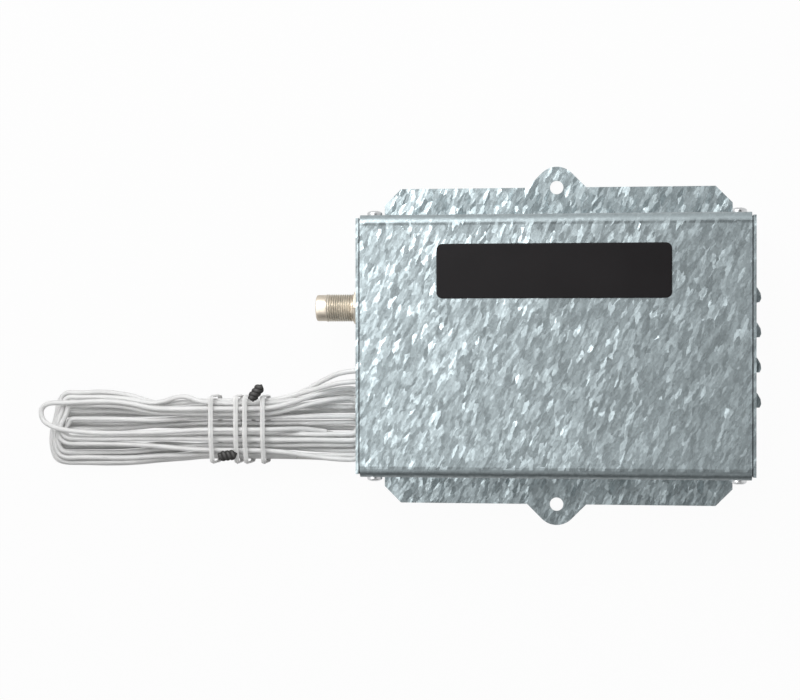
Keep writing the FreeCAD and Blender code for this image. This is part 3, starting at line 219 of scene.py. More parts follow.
def galvanised(settings):
    """Zinc crystals: leaning cells, each with its own tone and its own slight tilt. They are
    pressed even on the cover's two bends. A dark line of painted shade runs along each bend, and
    the lower bend is painted darker, as shade from the light above."""
    steel = Finish("galvanised_steel", Metallic=0.82, Roughness=0.4)
    lean = settings.spangle_lean
    long, wide = settings.spangle_length, settings.spangle_width
    wander = steel.node(
        "VectorMath",
        {"operation": "MULTIPLY_ADD"},
        {
            0: steel.node("TexNoise", None, {"Vector": steel.here, "Scale": 0.7 / wide}, "Color"),
            1: (wide * 0.9,) * 3,
            2: steel.here,
        },
    )
    cells = []
    for size, turn in ((1.0, lean), (0.52, lean - math.radians(9)), (2.1, lean + math.radians(6))):
        place = steel.stretched((long * size, wide * size, long * size), turn, wander)
        cells.append(steel.node("TexVoronoi", None, {"Vector": place, "Scale": 1.0}, "Color"))
    plain, fine, coarse = (steel.node("SeparateColor", None, {"Color": c}, "Red") for c in cells)
    mottle = plain * 0.47 + fine * 0.42 + coarse * 0.11
    cloud, grain = steel.noise(0.02), steel.noise(0.0007, 3)
    across, up, out = (
        steel.node("SeparateXYZ", None, {"Vector": steel.here}, axis) for axis in "XYZ"
    )
    side, top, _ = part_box("cover")[1]
    start = top - BEND_WIDTH
    aside, off_middle = abs(across), abs(up)
    front = out.step(FRONT_FROM, FRONT_FULL) * (1 - aside.step(side, side + 0.0001))
    bend = off_middle.step(start - BEND_EDGE, start + BEND_EDGE) * front
    # Painted shade: a dark line along each bend's edge, and a mask of the lower half, whose bend is
    # painted darker.
    line = off_middle.step(start - SHADE_LINE_FROM, start - SHADE_LINE_FULL) * front - bend
    painted_shade_below = 1 - up.step(-0.001, 0.001)
    even = 1 - bend * 0.75
    mixed = mottle * 0.84 + cloud * 0.16 + (grain - 0.5) * 0.3
    # The line and the lower bend are painted shade, darker as the light falls from above.
    tone = (mixed - 0.5) * even + 0.5 - line * 0.26 - bend * painted_shade_below * 0.24
    dark, low, middle, light, bright = shades(settings.zinc, 0.6, 0.84, 1.0, 1.25, 1.65)
    steel.drive(
        "Base Color",
        steel.colours(tone, (0.24, dark), (0.4, low), (0.53, middle), (0.63, light), (0.74, bright)),
    )
    steel.drive("Roughness", 0.5 - fine * 0.16)
    tilt = steel.node(
        "VectorMath",
        {"operation": "MULTIPLY_ADD"},
        {0: cells[0], 1: (settings.spangle_tilt * 2,) * 3, 2: (-settings.spangle_tilt,) * 3},
    )
    tilt = steel.node("VectorMath", {"operation": "SCALE"}, {0: tilt, "Scale": even})
    facing = steel.node(
        "VectorMath",
        {"operation": "ADD"},
        {0: tilt, 1: steel.node("NewGeometry", output="Normal")},
    )
    steel.drive("Normal", steel.node("VectorMath", {"operation": "NORMALIZE"}, {0: facing}))
    return steel.material


def plated(name, colour, roughness, grain=0.0004):
    """Bright plate with faint turning marks and dull patches."""
    metal = Finish(name, Metallic=1.0)
    marks = metal.noise(grain, 3)
    patches = metal.noise(grain * 12)
    worn, clean = shades(colour, 0.78, 1.08)
    metal.drive("Base Color", metal.colours(marks * 0.3 + patches * 0.7, (0.3, worn), (0.62, clean)))
    metal.drive("Roughness", roughness + patches * 0.14)
    metal.bump(marks, grain * 0.02)
    return metal.material


def moulded(name, colour, roughness, grain=0.0005, depth=0.00002, **sockets):
    """Moulded plastic: an even colour with faint clouds and a fine skin."""
    plastic = Finish(name, **sockets)
    clouds, skin = plastic.noise(grain * 16), plastic.noise(grain, 3)
    low, high = shades(colour, 0.9, 1.06)
    plastic.drive("Base Color", plastic.colours(clouds, (0.3, low), (0.7, high)))
    plastic.drive("Roughness", roughness + skin * 0.12)
    plastic.bump(skin, depth)
    return plastic.material


def board_mask():
    """Green solder mask over copper tracks that run along and across the board."""
    mask = Finish("solder_mask", Roughness=0.35)
    tracks = []
    for turn in (0, math.pi / 2):
        place = mask.stretched((0.018, 0.0016, 1), turn)
        lines = mask.node("TexVoronoi", {"distance": "CHEBYCHEV"}, {"Vector": place, "Scale": 1.0})
        tracks.append(1 - lines.step(0.16, 0.2))
    copper = tracks[0].larger(tracks[1])
    mask.drive("Base Color", mask.colours(copper, (0, (0.012, 0.09, 0.035)), (1, (0.03, 0.2, 0.07))))
    mask.bump(copper, 0.00004)
    return mask.material


def placed(name, data):
    """A new object with this data, in the scene."""
    made = bpy.data.objects.new(name, data)
    bpy.context.scene.collection.objects.link(made)
    return made


def skin(name, rings, finish, loop=False, more=()):
    """Joins rings of equal counts with quads, and closes both ends with a fan about their middle,
    or joins the last ring to the first. more holds further sets of rings for the same mesh."""
    points, faces, first = [], [], 0
    for part in (rings, *more):
        part = np.asarray(part, float)
        rows, count, _ = part.shape
        i = np.arange(rows if loop else rows - 1)[:, None] * count
        j = np.arange(count)[None, :]
        after, ahead = (i + count) % (rows * count), (j + 1) % count
        quads = np.stack([i + j, after + j, after + ahead, i + ahead], axis=-1).reshape(-1, 4)
        shell = part.reshape(-1, 3)
        fans = np.zeros((0, 3), int)
        if not loop:
            middle = rows * count
            j, ahead = j[0], ahead[0]
            last = middle - count
            shell = np.vstack([shell, part[0].mean(0), part[-1].mean(0)])
            fans = np.vstack(
                [
                    np.stack([j, ahead, np.full(count, middle)], axis=-1),
                    np.stack([last + ahead, last + j, np.full(count, middle + 1)], axis=-1),
                ]
            )
        if volume(shell, quads, fans) < 0:
            quads, fans = quads[:, ::-1], fans[:, ::-1]
        faces += (quads + first).tolist() + (fans + first).tolist()
        points.append(shell)
        first += len(shell)
    mesh = bpy.data.meshes.new(name)
    mesh.from_pydata(np.vstack(points), [], faces)
    mesh.validate()
    mesh.shade_smooth()
    mesh.set_sharp_from_angle(angle=SHARP_FROM)
    mesh.materials.append(finish)
    return placed(name, mesh)


def volume(points, quads, fans):
    """Six times the volume inside a closed shell, below zero if its faces point inwards."""
    threes = np.vstack([quads[:, [0, 1, 2]], quads[:, [0, 2, 3]], fans])
    a, b, c = (points[threes[:, k]] for k in range(3))
    return float((a * np.cross(b, c)).sum())


def around(count):
    return np.linspace(0, 2 * np.pi, count, endpoint=False)


def lathe(profile, axis, count=96, twist=None):
    """Turns a profile of (along, radius) pairs about an axis: centre + along a + radius
    (cos t up + sin t out). twist changes the radii as a function of along, radius and t."""
    centre, ahead = (np.asarray(v, float) for v in axis)
    along, radius = np.asarray(profile, float).T
    t = around(count)
    radius = np.repeat(radius[:, None], count, axis=1)
    if twist:
        radius = twist(along[:, None], radius, t[None, :])
    spokes = np.cos(t)[:, None] * UP + np.sin(t)[:, None] * OUT
    return centre + along[:, None, None] * ahead + radius[:, :, None] * spokes[None]


def arc(centre, radius, start, stop, steps=7):
    """Points of an arc, as (along, radius) pairs; the angles are in degrees."""
    t = np.radians(np.linspace(start, stop, steps))
    return [(centre[0] + radius * math.cos(a), centre[1] + radius * math.sin(a)) for a in t]


def finishing(piece, body, slot, *nodes):
    """Puts a piece on its body, in place of its nodes. The slot is not used."""
    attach(piece, body)
    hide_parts(*nodes)
    return piece


def sleeve(line, radius, count=14, squash=1.0):
    """Rings round a line of points, each square to the line."""
    line = np.asarray(line, float)
    ahead = np.gradient(line, axis=0)
    ahead /= np.linalg.norm(ahead, axis=1)[:, None]
    aside = np.cross(ahead, OUT)
    aside /= np.linalg.norm(aside, axis=1)[:, None]
    above = np.cross(aside, ahead)
    t = around(count)
    return (
        line[:, None]
        + radius * np.cos(t)[None, :, None] * aside[:, None]
        + radius * squash * np.sin(t)[None, :, None] * above[:, None]
    )


# Heights in the hank: of the lowest wire's middle, from one layer to the next, and the lift at the
# waist.
FLOOR_LEVEL, LEVEL_STEP, LIFT = 0.00095, 0.00242, 0.00164
# The far folds: where the first lies, how far back each next turn and each next layer lies, and how
# much higher each next turn lies. One narrower than FULL_FOLD is shallower, and drawn in.
FAR_X = -0.1829
TURN_BACK, TURN_LIFT, LAYER_BACK = 0.0016, 0.00095, 0.0013
FULL_FOLD, DRAWN_IN = 0.011, 0.0035
# A far fold's shape: how far each of its points lies from the end, and its share of the way down.
# It bulges below its middle.
FOLD_SHAPE = ((0.0026, 0.0), (0.0018, 0.3), (-0.0002, 0.55), (0.0, 0.8), (0.0022, 1.0))
# The folds beside the case: the place of the first column, and the steps between the columns and
# between the slots one above another.
WALL_X, COLUMN, SLOT = -0.06775, -0.00185, 0.00186
# Where the control points of a run stand: in the fan beside the case, at the waist and beyond it.
FAN_X = (-0.0765, -0.0860, -0.0950)
WAIST_NEAR, WAIST_FAR = -0.1025, -0.1250
BEYOND_X = (-0.1320, -0.1420, -0.1520, -0.1620, -0.1700)
# From the wall to the waist, where the points of each lead are those of the construction model.
ROUTES = {
    "lead_one": (
        (-0.064475, -0.0085, 0.014),
        (-0.073, -0.0085, 0.014),
        (-0.0815, -0.012, 0.009),
        (-0.091, -0.017, 0.0046),
        (-0.1005, -0.02075, 0.00259),
        (-0.1075, -0.02075, 0.00259),
    ),
    "lead_two": (
        (-0.064475, -0.0123, 0.014),
        (-0.073, -0.0123, 0.014),
        (-0.082, -0.0146, 0.0112),
        (-0.0916, -0.0172, 0.0076),
        (-0.1005, -0.01955, 0.00743),
        (-0.1075, -0.01955, 0.00743),
    ),
}
# The runs of each lead in the order of travel, out to the far end and back in turn. Each has its
# layer, four lanes, in millimetres below the middle of the case (beside the case, at the waist,
# half way out, at the far end), and the layers that it rises or sinks to on either side of the
# waist.
RUNS = {
    "lead_one": (
        (0, 20.75, 20.75, 22.6, 18.0, 0, 0.6), (0, 40.2, 39.45, 41.2, 42.5, 0, 0),
        (0, 22.9, 23.8, 24.5, 24.9, 0, 0), (0, 35.8, 36.5, 38.0, 40.2, 0, 0),
        (0, 29.2, 28.9, 28.8, 28.3, 0.3, 0), (0, 31.8, 32.6, 32.8, 33.4, 0.5, 0.5),
        (1, 27.0, 27.4, 28.2, 30.1, 2.2, 0.85), (1, 37.0, 35.6, 35.2, 36.7, 1.6, 0),
        (1, 21.5, 21.8, 23.0, 21.8, 1.6, 1), (1, 39.4, 39.0, 40.6, 42.0, 1, 1),
    ),
    "lead_two": (
        (2, 19.55, 19.55, 20.8, 16.5, 2, 2.4), (2, 38.8, 38.3, 39.4, 40.3, 2.0, 1.45),
        (2, 19.4, 22.5, 24.6, 23.5, 2.4, 1.6), (2, 35.0, 35.1, 37.0, 38.5, 2.6, 1),
        (2, 24.9, 25.3, 26.6, 26.2, 2.9, 2.6), (2, 31.0, 31.1, 31.8, 32.8, 2.6, 2),
        (3, 18.3, 24.1, 24.0, 21.2, 3.4, 3), (3, 33.2, 33.1, 33.2, 33.3, 3, 3.1),
        (3, 16.7, 20.4, 20.9, 18.2, 2.15, 3), (3, 40.0, 36.9, 35.8, 34.9, 3.0, 2.8),
        (4, 15.0, 22.2, 22.5, 19.7, 3.6, 3.5), (4, 28.5, 29.6, 30.7, 31.4, 3.4, 3.7),
    ),
}
MILLIMETRE = 0.001
# The places of a run's first and last lane in its row, and the layer whose turn has slipped out.
NEAR_LANE, FAR_LANE = 1, 4
TOP_LAYER = 4
STRAY_SEED = 11
# The run that is pushed up beyond the waist, and how far.
HUMP_RUN, HUMP = ("lead_two", 8), 0.0036
# Where the folds beside the case lie: the column, counted from the wall, and the height, counted
# in slots from the floor, so that they stack up out of the camera's sight.
FOLDS = {
    "lead_one": ((0, 0), (1, 0), (1, 1), (0, 1)),
    "lead_two": ((0, 2), (1, 2), (1, 3.1), (0, 3), (0, 4)),
}
# The turn that has slipped out of the far end, and the last points of each lead.
SLIPPED_LOOP = (
    (-0.1745, -0.0204, 0.0116),
    (-0.1810, -0.0203, 0.0114),
    (-0.1840, -0.0225, 0.0104),
    (-0.1836, -0.0264, 0.0104),
    (-0.1800, -0.0288, 0.0114),
    (-0.1735, -0.0304, 0.0116),
)
LAST_POINTS = {
    "lead_one": ((-0.092, -0.0394, 0.0042),),
    "lead_two": ((-0.092, -0.0292, 0.0092), (-0.0865, -0.0295, 0.0056), (-0.081, -0.0304, 0.0052)),
}


def level(layer):
    """Height of the middle of a wire in this layer."""
    return FLOOR_LEVEL + layer * LEVEL_STEP


def mix(a, b, share):
    return a * (1 - share) + b * share


def hank_line(name, loose):
    """Control points of a lead's turns: its runs one after another, joined at the far end by
    folds that lean, and beside the case by folds that stack against the wall."""
    runs, folds = RUNS[name], FOLDS[name]
    wander = np.random.default_rng(runs[0][0] + STRAY_SEED)
    points = []

    def add(x, y, z, stray=0.0):
        dy, dz = wander.uniform(-stray, stray), wander.uniform(0, stray)
        points.append((x, y + dy, z + dz))

    def ends(i, lane):
        """Where run i ends and the next one starts, across the hank."""
        return (-runs[k][lane] * MILLIMETRE for k in (i, i + 1))

    def far_fold(i):
        """From run i to the next. The turns of the lowest layer reach out farthest."""
        layer, (leave, arrive) = runs[i][0], ends(i, FAR_LANE)
        turn = (i // 2) % 3 if layer % 2 == 0 else 1.5 - (i // 2) % 3
        x, z = FAR_X + turn * TURN_BACK + layer * LAYER_BACK, level(layer) + turn * TURN_LIFT
        full = min(1.0, (leave - arrive) / FULL_FOLD)
        x += DRAWN_IN * (1 - full)
        for back, share in FOLD_SHAPE:
            add(x + back * full, mix(leave, arrive, share), z, loose * 0.3)

    def near_fold(i):
        column, slot = folds[i // 2]
        x, z = WALL_X + column * COLUMN, FLOOR_LEVEL + slot * SLOT
        leave, arrive = ends(i, NEAR_LANE)
        for share in (0, 0.5, 1):
            add(x, mix(leave, arrive, share), z)

    for i, (layer, *lanes, near_level, far_level) in enumerate(runs):
        near, waist, middle, far = (-lane * MILLIMETRE for lane in lanes)
        z, near_z, far_z = level(layer), level(near_level), level(far_level)
        low = FLOOR_LEVEL + folds[min((i - 1) // 2, len(folds) - 1)][1] * SLOT
        hump = HUMP if (name, i) == HUMP_RUN else 0.0
        stations = [
            (FAN_X[0], near, mix(low, near_z, 0.6), loose * 0.4),
            (FAN_X[1], mix(near, waist, 0.38), near_z, loose),
            (FAN_X[2], mix(near, waist, 0.8), mix(near_z, z, 0.7) + LIFT * 0.7, loose * 0.5),
            (WAIST_NEAR, waist, z + LIFT, 0.0),
            (WAIST_FAR, waist, z + LIFT, 0.0),
            (BEYOND_X[0], mix(waist, middle, 0.5) + hump, z + LIFT * 0.7, loose * 0.5),
            (BEYOND_X[1], middle, mix(z, far_z, 0.5) + LIFT * 0.3, loose * 0.5),
            (BEYOND_X[2], mix(middle, far, 0.75), far_z, loose * 0.5),
            (BEYOND_X[3], far, far_z, loose * 0.5),
            (BEYOND_X[4], mix(middle, far, 0.9), mix(z, far_z, 0.5), loose * 0.5),
        ]
        if i == 0:
            stations = stations[4:]
        if i == len(runs) - 1:
            stations = stations[3:]
        if layer == TOP_LAYER:
            stations = stations[:-1]
        for station in stations[:: -1 if i % 2 else 1]:
            add(*station)
        if i == len(runs) - 1:
            break
        if i % 2:
            near_fold(i)
        elif layer < TOP_LAYER:
            far_fold(i)
        else:
            points.extend(SLIPPED_LOOP)
    return points + list(LAST_POINTS[name])


def smooth_line(name, points, diameter, finish):
    """A round cord along one smooth spline with these control points."""
    curve = bpy.data.curves.new(name, "CURVE")
    curve.dimensions = "3D"
    spline = curve.splines.new("NURBS")
    spline.points.add(len(points) - 1)
    spline.points.foreach_set("co", np.c_[np.array(points), np.ones(len(points))].ravel())
    spline.order_u = 3
    spline.use_endpoint_u = True
    curve.resolution_u = 8
    curve.bevel_depth = diameter / 2
    curve.bevel_resolution = 4
    curve.use_fill_caps = True
    curve.materials.append(finish)
    return placed(name, curve)


def strands(name, end, before, length, finish):
    """Seven tinned strands, six of them wound round the middle one: a helix of one turn in six
    millimetres whose radius grows a little near the cut end."""
    radius, turn, buried = 0.00017, 0.006, 0.0012
    end, before = np.array(end), np.array(before)
    ahead = (end - before) / np.linalg.norm(end - before)
    aside = np.cross(ahead, OUT)
    aside /= np.linalg.norm(aside)
    above = np.cross(aside, ahead)
    s = np.linspace(-buried, length, 26)
    shells = []
    for k in range(7):
        reach = 0 if k == 6 else 2 * radius
        t = 2 * math.pi * (s / turn + k / 6)
        reach = reach * (1 + 0.5 * np.clip(s / length - 0.8, 0, 1) * (k % 3))
        line = (
            end
            + s[:, None] * ahead
            + (reach * np.cos(t))[:, None] * aside
            + (reach * np.sin(t))[:, None] * above
        )
        shells.append(sleeve(line, radius, 8))
    return skin(name, shells[0], finish, more=shells[1:])


# The waist's outline, as (across, height), with the tie's corners before they are rounded.
TIE_CORNERS = (
    (-0.0177, 0.00065),
    (-0.0177, 0.01412),
    (-0.0320, 0.01412),
    (-0.0413, 0.01170),
    (-0.0413, 0.00065),
)
# How far a corner's parabola reaches, and a ribbon's half width, core height and core spread.
CORNER_REACH = 0.0019
TIE_HALF, TIE_CORE, WIRE_SPREAD = 0.00085, 0.00045, 0.0003
# Each tie's two rings along the hank, and where its twisted ends start and point.
TIES = {
    "tie_far": ((-0.1208, -0.1122), (-0.1180, -0.0389, 0.01386), (1.0, 0.12, 0.0)),
    "tie_near": ((-0.1086, -0.1026), (-0.1062, -0.0187, 0.01568), (0.62, 0.78, 0.0)),
}
RING_SKEWS = (-0.03, 0.035)
TWIST_LENGTH, TWIST_WIDTH, TWIST_PITCH, TWIST_TAPER = 0.0058, 0.0019, 0.0031, 0.0006


def ribbon(x, skew):
    """A flat tie with a wire core, once round the waist: each corner of the waist's outline
    becomes a parabola, and the ribbon's section is carried round it."""
    corners = np.array(TIE_CORNERS)
    before, after = (np.roll(corners, k, axis=0) - corners for k in (1, -1))
    before, after = (
        v / np.linalg.norm(v, axis=1)[:, None] * CORNER_REACH for v in (before, after)
    )
    t = np.linspace(0, 1, 9)[None, :, None]
    start, stop, here = (v[:, None] for v in (corners + before, corners + after, corners))
    line = ((1 - t) ** 2 * start + 2 * t * (1 - t) * here + t**2 * stop).reshape(-1, 2)
    ahead = np.roll(line, -1, axis=0) - np.roll(line, 1, axis=0)
    ahead /= np.linalg.norm(ahead, axis=1)[:, None]
    outward = np.stack([-ahead[:, 1], ahead[:, 0]], axis=1)
    middle = line.mean(0)
    outward *= np.sign(((line - middle) * outward).sum(1))[:, None]
    a = around(20)
    across = TIE_HALF * np.cos(a)
    proud = TIE_CORE * np.sin(a) * (0.45 + 0.55 * np.exp(-((across / WIRE_SPREAD) ** 2)))
    lean = skew * (line[:, 1] - middle[1])
    rings = np.empty((len(line), len(a), 3))
    rings[:, :, 0] = x + lean[:, None] + across[None]
    rings[:, :, 1:] = line[:, None] + outward[:, None] * proud[None, :, None]
    return rings


def twisted(start, ahead):
    """The two ends of a tie, wound round each other in a flattened helix."""
    ahead = np.array(ahead) / np.linalg.norm(ahead)
    aside = np.cross(OUT, ahead)
    s = np.linspace(0, TWIST_LENGTH, 48)
    reach = TWIST_WIDTH * 0.5 * np.clip(s / TWIST_TAPER, 0.3, 1)
    shells = []
    for k in (0, 1):
        t = 2 * math.pi * (s / TWIST_PITCH + k / 2)
        line = (
            np.array(start)
            + s[:, None] * ahead
            + (reach * np.cos(t))[:, None] * aside
            + (reach * 0.5 * np.sin(t))[:, None] * OUT
        )
        shells.append(sleeve(line, TWIST_WIDTH * 0.48, 12, 0.8))
    return shells


class RECEIVER_OT_leads(bpy.types.Operator):
    """Make the two leads, their bared ends and the ties round the hank"""

    bl_idname = "receiver.leads"
    bl_label = "Leads"

    def execute(self, context):
        settings = context.scene.receiver_leads
        pvc = moulded("lead_insulation", settings.insulation, 0.5, 0.0006, 0.00001)
        copper = plated("tinned_strands", (0.5, 0.49, 0.47), 0.35, 0.0002)
        white = moulded("tie_sleeve", (0.84, 0.84, 0.83), 0.45, 0.0005)
        # The twisted ends are near black: painted shade, standing for the shadows among the twists of
        # a white tie.
        black = moulded("tie_twist_painted_shade", (0.018, 0.017, 0.016), 0.5, 0.0004)
        ties = []
        for name, (rings, knot, ahead) in TIES.items():
            wraps = [ribbon(x, skew) for x, skew in zip(rings, RING_SKEWS)]
            wrap = skin(name + "_wraps", wraps[0], white, loop=True, more=wraps[1:])
            finishing(wrap, CASE, "white_tie", name)
            ends = twisted(knot, ahead)
            twist = skin(name + "_twist", ends[0], black, more=ends[1:])
            ties += [wrap, finishing(twist, CASE, "white_tie", name)]
        for name in RUNS:
            route = [*ROUTES[name], *hank_line(name, settings.looseness)]
            cord = smooth_line(name + "_cord", route, settings.diameter, pvc)
            finishing(cord, CASE, "white_insulation", name, name + "_hank")
            end = strands(name + "_strands", route[-1], route[-2], settings.bared, copper)
            finishing(end, CASE, "tinned_copper", name + "_bared_end")
        return {"FINISHED"}


# The camera, fitted to the case's corners in the photo: its place, its axis backwards, and up.
CAMERA = Vector((0.02256, 0.00155, 0.62203))
CAMERA_BACK = Vector((0.1245, 0.0048, 0.9922))
CAMERA_UP = Vector((-0.0005, 1.0, -0.0048))
LENS = 79.4
# Lamps: name, place, size and power, as a share of the key's. The first three show only in
# reflections, and the soft one lights only matt surfaces.
LAMPS = (
    ("key", (-0.30, 0.36, 0.44), 0.4, 1.0),
    ("glint", (-0.24, 0.20, 0.36), 0.1, 0.35),
    ("low_glint", (-0.34, -0.12, 0.46), 0.3, 0.42),
    ("soft", (-0.12, 0.33, 0.50), 0.45, 1.02),
)
# Cards: name, middle, half their length and half their width as directions, and tone.
CARDS = (
    ("card_below", (0.12, -0.36, 0.14), (0.4, 0, 0), (0, 0, 0.15), 0.2),
    ("card_right", (0.22, 0, 0.66), (0, 0.35, 0), (0.2, 0, 0), 0.05),
)
# The paper on the floor: its tone, its share of plain white, how far it lies below the case, and
# half its width.
PAPER_TONE, PAPER_GLOW, PAPER_DROP, PAPER_HALF = 0.6, 0.96, 0.0002, 2.0


class RECEIVER_OT_stage(bpy.types.Operator):
    """Make the floor, the lights, the world and the camera"""

    bl_idname = "receiver.stage"
    bl_label = "Stage"

    def execute(self, context):
        settings = context.scene.receiver_stage
        self.camera(context)
        self.floor()
        self.world(context, settings.fill)
        for name, place, size, share in LAMPS:
            lamp = self.lamp(name, place, size, settings.key_power * share)
            lamp.visible_diffuse = name == "soft"
            lamp.visible_glossy = name != "soft"
        for name, middle, along, across, shade in CARDS:
            self.card(name, middle, along, across, shade)
        context.scene.view_settings.view_transform = "Standard"
        return {"FINISHED"}

    def camera(self, context):
        eye = placed("camera", bpy.data.cameras.new("camera"))
        back = CAMERA_BACK.normalized()
        right = CAMERA_UP.cross(back).normalized()
        turn = Matrix((right, back.cross(right), back)).transposed()
        eye.matrix_world = Matrix.Translation(CAMERA) @ turn.to_4x4()
        eye.data.lens = LENS
        eye.data.sensor_width = 36.0
        eye.data.clip_start = 0.01
        context.scene.camera = eye

    def floor(self):
        """White to the camera and in reflections, but for a faint shadow."""
        paper = Finish("paper", Roughness=0.9, Base_Color=(*[PAPER_TONE] * 3, 1))
        surface = Tone(paper, paper.shader.outputs[0])
        glow = paper.node("Emission", None, {"Color": (1, 1, 1, 1), "Strength": 1.0})
        factor = paper.seen() * PAPER_GLOW
        mixed = paper.node("MixShader", None, {0: factor, 1: surface, 2: glow})
        output = paper.tree.nodes["Material Output"]
        paper.tree.links.new(mixed.socket, output.inputs["Surface"])
        reach = PAPER_HALF
        self.sheet("floor", (0, 0, -PAPER_DROP), (reach, 0, 0), (0, reach, 0), paper)

    def card(self, name, middle, along, across, shade):
        """A dark card outside the picture, which the bends and the right side reflect."""
        grey = Finish(name, Roughness=0.9, Base_Color=(shade, shade, shade, 1))
        self.sheet(name, middle, along, across, grey)

    def sheet(self, name, middle, along, across, finish):
        """A rectangle: its corners are middle, plus or minus along, plus or minus across."""
        middle, along, across = (Vector(v) for v in (middle, along, across))
        signs = ((-1, -1), (1, -1), (1, 1), (-1, 1))
        mesh = bpy.data.meshes.new(name)
        mesh.from_pydata([middle + a * along + b * across for a, b in signs], [], [(0, 1, 2, 3)])
        mesh.materials.append(finish.material)
        placed(name, mesh)

    def world(self, context, fill):
        """Light from all round, which looks white where it is seen."""
        world = bpy.data.worlds.new("studio")
        world.use_nodes = True
        context.scene.world = world
        studio = Nodes(world.node_tree)
        inputs = {"Value": studio.seen(), "To Min": fill, "To Max": 1.0}
        strength = studio.node("MapRange", None, inputs)
        background = studio.tree.nodes["Background"]
        background.inputs["Color"].default_value = (1, 1, 1, 1)
        studio.tree.links.new(strength.socket, background.inputs["Strength"])

    def lamp(self, name, place, size, power):
        light = bpy.data.lights.new(name, "AREA")
        light.size = size
        light.energy = power
        lamp = placed(name, light)
        lamp.location = place
        lamp.rotation_mode = "QUATERNION"
        lamp.rotation_quaternion = (-Vector(place)).to_track_quat("-Z", "Y")
        return lamp


class RECEIVER_OT_case(bpy.types.Operator):
    """Give the tray, the cover and everything on the board their finishes"""

    bl_idname = "receiver.case"
    bl_label = "Case and board"

    def execute(self, context):
        steel = galvanised(context.scene.receiver_case)
        black = moulded("black_moulding", (0.03, 0.03, 0.032), 0.4)
        tin = plated("tin_plate", (0.68, 0.68, 0.67), 0.25)
        finishes = {
            steel: ("base_tray", "cover"),
            black: (
                "rectifier_diodes", "voltage_regulator", "microcontroller",
                "mode_header", "mode_shunt", "learn_switch",
            ),
            tin: ("shield_can", "crystal_can", "board_standoffs", "board_screws"),
            board_mask(): ("circuit_board",),
            moulded("relay_case", (0.03, 0.13, 0.36), 0.3): ("relay",),
            moulded("can_sleeve", (0.03, 0.04, 0.08), 0.25): ("filter_capacitors",),
            moulded("resistor_body", (0.05, 0.05, 0.055), 0.5): ("chip_resistors",),
            moulded("ptfe", (0.82, 0.82, 0.8), 0.5): ("jack_insulator",),
            moulded("tail_insulation", (0.8, 0.8, 0.79), 0.34): ("lead_tails",),
            plated("contact_brass", (0.75, 0.58, 0.3), 0.25): ("jack_contact",),
        }
        for finish, nodes in finishes.items():
            for name in nodes:
                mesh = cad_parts[name].data
                mesh.materials.clear()
                mesh.materials.append(finish)
        return {"FINISHED"}


# The jack: the middle of its bore, its thread of 32 turns to the inch, and the radii of its bore,
# its neck and its nose.
JACK_MIDDLE = np.array([0, 0.0132, 0.016])
THREAD_PITCH, THREAD_DEPTH, THREAD_RADIUS = 0.00079375, 0.00034, 0.004765
BORE, NECK, NOSE = 0.0033, 0.00445, 0.00455
NOSE_LENGTH, NOSE_EDGE = 0.0034, 0.0005
# Where the thread starts beyond the nose and stops before the nut, and over what lengths it fades.
THREAD_START, THREAD_STOP, FADE_IN, FADE_OUT = 0.0002, 0.0004, 0.0008, 0.0003
# The thickness of the case's sheet.
SHEET = 0.001
# Its block inside the case: half its width, and how far it reaches below the bore's middle.
BLOCK_HALF, BLOCK_FOOT = 0.0055, 0.0084
# Its nut and washer: how far their faces stand off the wall, and their radii. The nut's flats end
# in a cone at each face, and the washer has teeth inside.
NUT_OFF, NUT_THICKNESS, NUT_BORE, NUT_CORNER = 0.0025, 0.002, 0.0045, 0.0064
NUT_FLAT, NUT_CHAMFER = 0.00555, 0.0057
WASHER_OFF, WASHER_SLACK, WASHER_BORE, WASHER_OUTER = 0.0005, 0.0001, 0.0048, 0.0064
TOOTH = 0.0007
# A point of the nut or the washer that lies farther from the axis is on its outside.
RIM_FROM = 0.005


